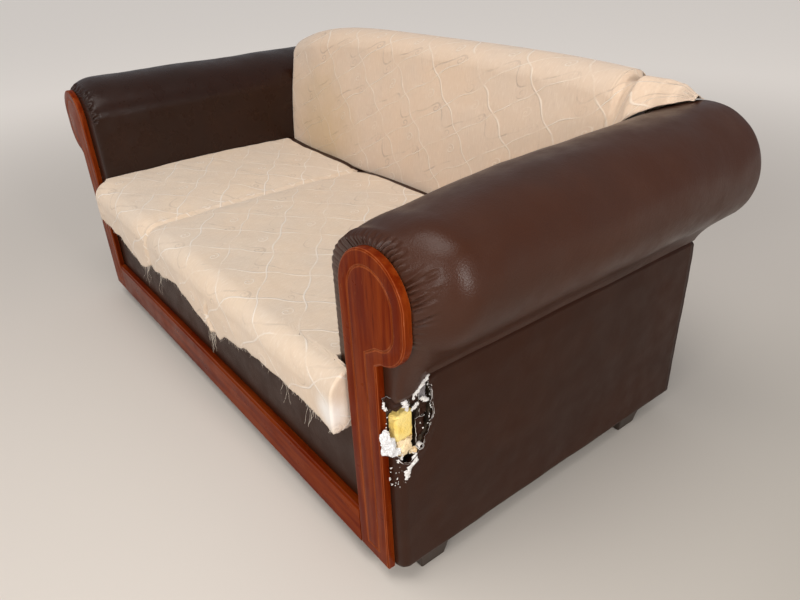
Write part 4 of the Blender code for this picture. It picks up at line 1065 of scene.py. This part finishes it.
def back_place(u, v):
    x = mix(-BACK_END - 0.0005, BACK_END, u)
    (depth, z), run = along(back_profile(x), v)
    uneven = wobble((x, z, 1.0), 7.0, 0.0032) + wobble((x, z, 4.0), 24.0, 0.0010)
    depth -= abs(uneven) if depth < BACK_FOOT_Y + 0.09 else 0.0
    return behind(x, depth, z), (x, run)


def roll_height(x, depth=0.0):
    """Height of the right arm roll's upper side at x and a depth."""
    rise, centre_z = SINK[1]
    over = min(1.0, max(-1.0, (ROLL_X - x) / (ROLL_X - ARM_INNER)))
    full = REAR_FULLNESS * smoothstep((depth - 0.45) / 0.35)
    return centre_z + (rise + full) * math.sqrt(max(0.0, 1 - over * over))


EAR_SECTIONS = ((0.0, 0.712, 0.005, 0.000), (0.30, 0.720, 0.006, 0.003), (0.62, 0.742, 0.006, 0.009),
                (0.82, 0.782, 0.006, 0.020), (1.0, 0.826, 0.005, 0.044))


def ear_place(u, v):
    """The loose corner: u runs from the back's end to the tip, v over it from front to rear."""
    x = BACK_END + EAR_REACH * u
    start = [read_curve([(row[0], row[i]) for row in EAR_SECTIONS], u) for i in (1, 2, 3)]
    top = BACK_TOP + CLOTH_LIFT - SHOULDER_DROP[1] - start[2]
    a = (start[0], roll_height(x, start[0]) + start[1])
    c = (PANEL_REAR - 0.009, mix(top - 0.012, roll_height(x, 0.8) + 0.005, smoothstep(u / 0.10)))
    b = (mix(a[0], c[0], 0.35), 2 * top - (a[1] + c[1]) / 2)
    free = tuple((1 - v) ** 2 * p + 2 * v * (1 - v) * q + v * v * r for p, q, r in zip(a, b, c))
    (rd, rz), run = along(back_profile(BACK_END), mix(EAR_ROWS[0], EAR_ROWS[1], v) / (BACK_ROWS - 1))
    held = (1 - smoothstep(u / 0.35)) * (1 - smoothstep((v - 0.55) / 0.30) * smoothstep(u / 0.08))
    point, flat = back_place(1.0, mix(EAR_ROWS[0], EAR_ROWS[1], v) / (BACK_ROWS - 1))
    depth = mix(free[0], point.y - FRONT, held)
    z = mix(free[1], point.z, held)
    z += 0.003 * u * math.sin(9 * v + 3 * u) + wobble((x, depth, 9.0), 30.0, 0.002) * smoothstep(u / 0.2)
    if v < 0.02:
        depth += wobble((x, 0, 0), 160.0, 0.004) * u
    return behind(x, depth, max(z, roll_height(x, depth) + 0.003)), (x, run)


main = sheet_of(240, BACK_ROWS, back_place)
corner = sheet_of(46, EAR_ROWS[1] - EAR_ROWS[0] + 1, ear_place)
spare = bpy.data.meshes.new("corner")
corner.to_mesh(spare)
corner.free()
main.from_mesh(spare)
bpy.data.meshes.remove(spare)
bmesh.ops.remove_doubles(main, verts=main.verts, dist=0.0002)
face_towards(main, (0, -1, 1))
back_cloth = add_piece("back_cloth_sheet", main, [BACK_CLOTH], ["back_cloth"])
thicken(back_cloth, 0.0016)

# %% [markdown]
# ## The torn corner
# Behind the torn skin sit a block of yellow foam, a crumb of older peach foam under it, and white
# wadding that has been pulled out past the post. Round them hang strips of skin with their white
# backing out. Places in the hole are given by their depth and by their drop below the side's seam.

# %% Foam in the tear
FOAM_TOP_DROP = 0.055


def hole_place(depth, drop, out=0.0):
    """A point in the hole, at a distance out from the panel's surface."""
    return behind(panel_x(depth) + out, depth, SEAM_Z - drop)


def rough_lump(name, node, finish, cuts, amount, top_at=None):
    """A copy of a foam solid, cut finely and roughened like torn foam, with its top torn down."""
    bm = copy_of_node(node)
    bmesh.ops.triangulate(bm, faces=bm.faces)
    bmesh.ops.subdivide_edges(bm, edges=bm.edges, cuts=cuts, use_grid_fill=True)
    bm.normal_update()
    highest = max(v.co.z for v in bm.verts)
    lowest = min(v.co.z for v in bm.verts)
    for vert in bm.verts:
        if top_at:
            slope = 0.20 * (vert.co.y - FRONT - 0.036)
            vert.co.z = mix(lowest, top_at + slope, (vert.co.z - lowest) / (highest - lowest))
        vert.co += vert.normal * (wobble(vert.co, 180.0, amount) + wobble(vert.co, 520.0, amount * 0.5) - amount * 0.5)
    return add_piece(name, bm, [finish], [node])


rough_lump("foam_block", "torn_foam_block", YELLOW_FOAM, 9, 0.0014, SEAM_Z - FOAM_TOP_DROP)
rough_lump("foam_crumb", "torn_foam_lower", PEACH_FOAM, 8, 0.0024)

# %% [markdown]
# Wadding is a ball pulled into lumps and hollows by three sizes of noise. Three such tufts overlap
# where it spills over the post's edge, and small lumps of foam lie at the hole's lower right.

# %% Wadding
TUFTS_OF_WADDING = (((0.0050, 0.111, -0.004), (0.011, 0.013, 0.016), 3.0), ((0.001, 0.092, -0.006), (0.009, 0.009, 0.013), 5.0),
                    ((0.0180, 0.127, -0.002), (0.008, 0.013, 0.007), 8.0))
CRUMBS = (((0.036, 0.124, -0.004), (0.009, 0.017, 0.018), 2.0), ((0.055, 0.144, -0.001), (0.006, 0.008, 0.006), 6.0))


def fluff(name, lumps, finish, replaces=()):
    bm = bmesh.new()
    for (depth, drop, out), size, seed in lumps:
        ball = bmesh.ops.create_icosphere(bm, subdivisions=5, radius=1.0)["verts"]
        middle = behind(SIDE_X + out - 0.004, depth, SEAM_Z - drop)
        for vert in ball:
            n = vert.co.normalized()
            lump = 1 + 0.35 * noise.noise(n * 1.8 + Vector((seed, 0, 0)))
            lump += 0.20 * noise.noise(n * 5.0 + Vector((0, seed, 0))) + 0.09 * noise.noise(n * 14.0)
            vert.co = middle + Vector((n.x * size[0], n.y * size[1], n.z * size[2])) * lump
    return add_piece(name, bm, [finish], replaces)


fluff("wadding_tuft", TUFTS_OF_WADDING, WADDING, ["torn_wadding"])
fluff("foam_crumbs", CRUMBS, PEACH_FOAM)

# %% [markdown]
# Strips of torn skin are small bent sheets with a ragged end. Each hangs from a point of the hole's
# rim, and is curled and folded in narrow parallel creases, so that some show leather and some their
# white backing.

# %% Torn strips
CREASE_RATE = 420.0


def torn_strip(name, depth, drop, out, width, length, curl, creased, seed, finish, replaces=()):
    def place(u, v):
        down = (1 - v) * length * (0.80 + 0.35 * noise.noise(Vector((u * 3.1, seed, 0.5))) + 0.15)
        across = (u - 0.5) * width
        fold = creased * math.sin(CREASE_RATE * (down + 0.35 * across) + 3 * noise.noise(Vector((u * 2, v * 2, seed))))
        bend = curl * (down / length) ** 2 + fold + 0.003 * noise.noise(Vector((u * 2.0, v * 2.0, seed)))
        point = hole_place(depth + across * (1 - 0.25 * (1 - v)), drop + down, out + bend)
        return point, (u * width, v * length)

    bm = sheet_of(26, 30, place)
    face_towards(bm, (1, 0, 0))
    piece = add_piece(name, bm, [finish, BACKING], replaces)
    thicken(piece, 0.0009, 1, 1)
    return piece


# Most strips take the darker torn leather, painted shade in the hole.
torn_strip("strip_front", 0.022, 0.020, -0.002, 0.030, 0.026, 0.000, 0.0011, 2.0, TORN_LEATHER_PAINTED_SHADE, ["torn_flap_front"])
torn_strip("strip_upper", 0.073, 0.004, -0.001, 0.018, 0.032, 0.003, 0.0009, 1.0, GREY_SKIN, ["torn_flap_upper"])
torn_strip("strip_middle", 0.056, 0.022, -0.003, 0.020, 0.020, 0.001, 0.0008, 4.0, TORN_LEATHER_PAINTED_SHADE)
torn_strip("strip_rear", 0.077, 0.040, -0.003, 0.018, 0.040, -0.002, 0.0006, 5.0, TORN_LEATHER_PAINTED_SHADE)
torn_strip("strip_low", 0.070, 0.078, -0.003, 0.020, 0.050, -0.003, 0.0006, 7.0, TORN_LEATHER_PAINTED_SHADE)

# %% [markdown]
# A ribbon is a strip of backing that has peeled off along the edge and stands on edge: a sheet whose
# middle line runs through a few points, narrow at its ends. The rag under the hole is made likewise.

# %% Ribbons of backing
RIBBONS = {
    "edge_curl": (0.0075, ((0.0860, -0.006, 0.002), (0.0780, 0.000, 0.004), (0.0668, 0.006, 0.005),
                           (0.0580, 0.013, 0.005), (0.0520, 0.021, 0.004), (0.0500, 0.028, 0.003))),
    "inner_curl": (0.0035, ((0.0760, 0.008, 0.003), (0.0690, 0.009, 0.004), (0.0620, 0.014, 0.004), (0.0580, 0.024, 0.003))),
    "hanging_rag": (0.0150, ((0.0560, 0.146, 0.002), (0.0500, 0.158, 0.003), (0.0420, 0.170, 0.002),
                             (0.0360, 0.182, 0.002), (0.0320, 0.194, 0.0015))),
    "cross_scrap": (0.0070, ((0.0640, 0.044, 0.000), (0.0560, 0.046, 0.002), (0.0470, 0.050, 0.001))),
    "rear_scrap": (0.0065, ((0.0700, 0.032, 0.001), (0.0760, 0.040, 0.003), (0.0840, 0.046, 0.001))),
    "front_scrap": (0.0095, ((0.0330, 0.024, 0.000), (0.0360, 0.035, 0.003), (0.0400, 0.046, 0.001))),
    "post_scrap": (0.0035, ((0.0090, 0.026, -0.002), (0.0080, 0.036, 0.000), (0.0140, 0.046, -0.002))),
}


def ribbon(name, width, points):
    run = Vector((points[-1][0] - points[0][0], points[-1][1] - points[0][1])).normalized()

    def place(u, v):
        at = u * (len(points) - 1)
        i = min(int(at), len(points) - 2)
        depth, drop, out = (mix(a, b, at - i) for a, b in zip(points[i], points[i + 1]))
        narrow = width * (0.45 + 0.55 * math.sin(math.pi * min(1.0, 0.15 + 0.85 * u)))
        rag = 1 + 1.1 * noise.noise(Vector((u * 11, v * 2.5, width * 500)))
        side = (v - 0.5) * narrow * rag + 0.003 * noise.noise(Vector((u * 6, 0.0, width * 700)))
        lift = 0.0022 * math.cos(3.0 * (v - 0.5)) + 0.0018 * noise.noise(Vector((u * 9, v * 4, width * 900)))
        return hole_place(depth - run.y * side, drop + run.x * side, out + lift), (u, v)

    bm = sheet_of(40, 12, place)
    face_towards(bm, (1, 0, 0))
    piece = add_piece(name, bm, [BACKING], ())
    thicken(piece, 0.0008)
    return piece


for name, (width, points) in RIBBONS.items():
    ribbon(name, width, points)

# %% [markdown]
# A rolled flake of skin sits at the hole's lower right, and white flakes of backing trail below the
# hole and along its turned-in edge. A flake is a flat scrap of a few faces, pushed about by noise.

# %% Flakes
NEAR_FLAKES = ((0.022, 0.150, 4.5), (0.0257, 0.1425, 4.0), (0.0153, 0.1435, 3.0), (0.031, 0.199, 2.6), (0.0267, 0.158, 2.4),
               (0.012, 0.058, 1.5), (0.010, 0.070, 1.2), (0.009, 0.078, 1.5), (0.066, 0.086, 1.5), (0.072, 0.100, 1.8))


def scraps(name, places, finish):
    bm = bmesh.new()
    for (depth, drop), size, seed in places:
        ring = bmesh.ops.create_circle(bm, cap_ends=True, radius=size, segments=9)["verts"]
        turn = Matrix.Rotation(math.radians(90), 4, "Y") @ Matrix.Rotation(seed * 1.7, 4, "Z")
        for vert in ring:
            vert.co *= 0.45 + 1.2 * abs(noise.noise(vert.co * 300 + Vector((seed, seed, 0))))
            vert.co.z += 0.0010 * noise.noise(vert.co * 500 + Vector((0, 0, seed)))
        bmesh.ops.transform(bm, matrix=Matrix.Translation(hole_place(depth, drop, 0.0020)) @ turn, verts=ring)
    piece = add_piece(name, bm, [finish], (), smooth=False)
    thicken(piece, 0.0006)
    return piece


pick = random.Random(5)
flakes = [((depth, drop), size / 1000, pick.uniform(0, 9)) for depth, drop, size in NEAR_FLAKES]
for i in range(34):
    t = pick.random()
    edge = 0.25 + 0.5 * pick.random()
    flakes.append(((mix(0.016, 0.060, pick.random()) * (1 - 0.5 * t), 0.135 + 0.075 * t), pick.uniform(0.0010, 0.0030), pick.uniform(0, 9)))
for i in range(30):
    a, b = TEAR_OUTLINE[8 + i % 4], TEAR_OUTLINE[9 + i % 4]
    t = pick.random()
    spot = (mix(a[0], b[0], t) + pick.uniform(-0.003, 0.003), -mix(a[1], b[1], t))
    flakes.append((spot, pick.uniform(0.0005, 0.0016), pick.uniform(0, 9)))
scraps("backing_flakes", flakes, BACKING)


def rolled_flake(u, v):
    """A short roll of skin: a sheet wound one and a half turns."""
    angle = 3 * math.pi * u
    radius = mix(0.0028, 0.0062, u)
    return hole_place(0.0645 + radius * math.cos(angle), 0.1348 + radius * math.sin(angle), mix(-0.004, 0.006, v)), (u, v)


# The flake takes the darker torn leather, painted shade.
bm = sheet_of(48, 6, rolled_flake)
roll = add_piece("rolled_flake", bm, [TORN_LEATHER_PAINTED_SHADE, BACKING], ())
thicken(roll, 0.0008, 1, 1)

# %% [markdown]
# ## Loose threads
# Where the cloth was cut it frays. A thread is a thin three-sided tube along a drooping line. All
# threads of one hem are one piece, a few faces each.

# %% Threads


def add_thread(bm, start, way, length, droop, radius, seed):
    points = []
    for i in range(6):
        t = i / 5
        bend = noise.noise_vector(Vector((seed, t * 2.2, 0.3))) * length * 0.35 * t
        points.append(start + way * length * t + Vector((0, 0, -droop * length * t * t)) + bend)
    ring = None
    for i, point in enumerate(points):
        size = radius * (1 - 0.6 * i / 5)
        made = bmesh.ops.create_circle(bm, radius=size, segments=3)["verts"]
        ahead = points[min(i + 1, 5)] - points[max(i - 1, 0)]
        turn = ahead.to_track_quat("Z", "Y").to_matrix().to_4x4()
        bmesh.ops.transform(bm, matrix=Matrix.Translation(point) @ turn, verts=made)
        edges = [e for e in {e for v in made for e in v.link_edges}]
        if ring:
            bmesh.ops.bridge_loops(bm, edges=ring + edges)
        ring = edges


THREAD = plain("cream_thread", (0.84, 0.76, 0.66), (0.74, 0.63, 0.50), 300.0, 0.85, 0.0002)
pick = random.Random(17)
threads = bmesh.new()
TUFTS = ((-0.262, 9), (0.185, 16), (0.60, 4), (0.52, 3), (-0.12, 2))
for middle, count in TUFTS:
    for i in range(count):
        x = middle + pick.uniform(-0.016, 0.016)
        px, depth, z = seat_place(x, hem_run(x) - 0.004)
        way = Vector((pick.uniform(-0.5, 0.3), -0.25, -1.0)).normalized()
        add_thread(threads, behind(px, depth, z), way, pick.uniform(0.016, 0.045), 0.3, 0.00042, pick.uniform(0, 99))
for i in range(240):
    x = pick.uniform(-0.66, 0.66)
    px, depth, z = seat_place(x, hem_run(x) - 0.002)
    way = Vector((pick.uniform(-0.8, 0.8), pick.uniform(-0.5, 0.1), -0.8)).normalized()
    add_thread(threads, behind(px, depth, z), way, pick.uniform(0.003, 0.010), 0.2, 0.00030, pick.uniform(0, 99))
bmesh.ops.recalc_face_normals(threads, faces=threads.faces)
add_piece("hem_threads", threads, [THREAD], ())

# %% [markdown]
# ## The solids that stay
# Boards, feet, springs and inner pieces have the right shape already, so they keep their solids and
# only get a finish. The backrest's pad is shaded smooth, with a weld that joins its loose triangles,
# which change no vertex of the solid itself.

# %% Finishes for the solids
KEPT = {
    # The hardboard and the padding take finishes painted dark, painted shade inside the torn corner. The fascia and
    # rear skin take the panels' darker leather, also painted shade.
    "base_": PINE, "back_lower": PINE, "back_top": PINE, "back_upright": PINE, "arm_front": PINE,
    "arm_rear": PINE, "arm_top": PINE, "side_rail": PINE, "side_hardboard": HARDBOARD_PAINTED_SHADE,
    "side_padding": PADDING_PAINTED_SHADE, "foot_": DARK_WOOD, "dust_cover": BLACK_CLOTH, "deck_felt": FELT,
    "back_strap": FELT, "seat_spring": SPRING_STEEL, "fascia_skin": LEATHER_PANELS_PAINTED_SHADE, "rear_skin": LEATHER_PANELS_PAINTED_SHADE,
    "backrest_pad": LEATHER_DULL,
}
for name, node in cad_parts.items():
    for start, finish in KEPT.items():
        if name.startswith(start):
            node.data.materials.clear()
            node.data.materials.append(finish)
            break
for name in ("backrest_pad",):
    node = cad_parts[name]
    node.data.polygons.foreach_set("use_smooth", [True] * len(node.data.polygons))
    node.modifiers.new("weld", "WELD").merge_threshold = 0.00005
print("solids with a finish:", sum(not n.hide_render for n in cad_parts.values()))

# %% [markdown]
# ## Stage and light
# The sofa stands on a plain pale floor under a large soft light. To its right the floor is painted
# darker, a painted shade. A smaller light from the right rear draws the highlight on the near arm, and
# a weak one fills the front. The world gives an even fill. Far from the sofa the floor glows a little
# for the camera, and for reflections, so that the background stays pale where the lights no longer reach.

# %% Stage and light
FLOOR_COLOUR = (0.66, 0.60, 0.54)
FLOOR_PAINTED_SHADE = (0.40, 0.365, 0.32)
PAINTED_SHADE_PATCH = (2.0, 0.5, 0.0)
floor_mesh = bpy.data.meshes.new("floor")
bm = bmesh.new()
bmesh.ops.create_grid(bm, x_segments=1, y_segments=1, size=40.0)
bm.to_mesh(floor_mesh)
bm.free()
floor = bpy.data.objects.new("floor", floor_mesh)
bpy.context.scene.collection.objects.link(floor)
floor_finish, tree, shader = new_material("pale_floor")
where = add(tree, "TexCoord").outputs["Object"]
away = add(tree, "VectorMath", {0: where}, operation="LENGTH").outputs["Value"]
beside = add(tree, "VectorMath", {0: where, 1: PAINTED_SHADE_PATCH}, operation="DISTANCE").outputs["Value"]
# Round a spot to the sofa's right the floor is painted darker: painted shade on the floor.
plug(tree, shader.inputs["Base Color"], blend(tree, mask(tree, beside, 0.3, 2.0, 0.95, 0.0), FLOOR_COLOUR, FLOOR_PAINTED_SHADE))
shader.inputs["Roughness"].default_value = 0.9
ray = add(tree, "LightPath").outputs
seen = calc(tree, "MAXIMUM", ray["Is Camera Ray"], calc(tree, "MAXIMUM", ray["Is Glossy Ray"], ray["Is Transmission Ray"]))
shader.inputs["Emission Color"].default_value = (0.95, 0.89, 0.83, 1.0)
far = mask(tree, away, 1.4, 5.0, 0.0, 0.40)
plug(tree, shader.inputs["Emission Strength"], calc(tree, "MULTIPLY", seen, far))
floor_mesh.materials.append(floor_finish)

world = bpy.data.worlds.new("studio")
bpy.context.scene.world = world
world.use_nodes = True
world.node_tree.nodes["Background"].inputs[0].default_value = (0.93, 0.95, 1.0, 1.0)
world.node_tree.nodes["Background"].inputs[1].default_value = 0.35


def area_light(name, place, aim, size, watts, colour):
    data = bpy.data.lights.new(name, "AREA")
    data.shape = "RECTANGLE"
    data.size, data.size_y = size
    data.energy = watts
    data.color = colour
    light = bpy.data.objects.new(name, data)
    bpy.context.scene.collection.objects.link(light)
    light.location = place
    light.rotation_euler = (Vector(aim) - Vector(place)).to_track_quat("-Z", "Y").to_euler()
    return light


area_light("overhead", (0.8, -1.6, 5.0), (0.0, 0.0, 0.4), (3.4, 2.8), 136.0, (1.0, 0.98, 0.95))
area_light("window", (2.85, -0.40, 1.28), (0.88, -0.3, 0.7), (0.30, 0.45), 24.0, (1.0, 0.98, 0.95))
area_light("front_fill", (2.0, -3.4, 1.8), (0.2, -0.4, 0.3), (2.0, 1.5), 56.0, (1.0, 0.98, 0.95))
bpy.context.scene.view_settings.view_transform = "Standard"
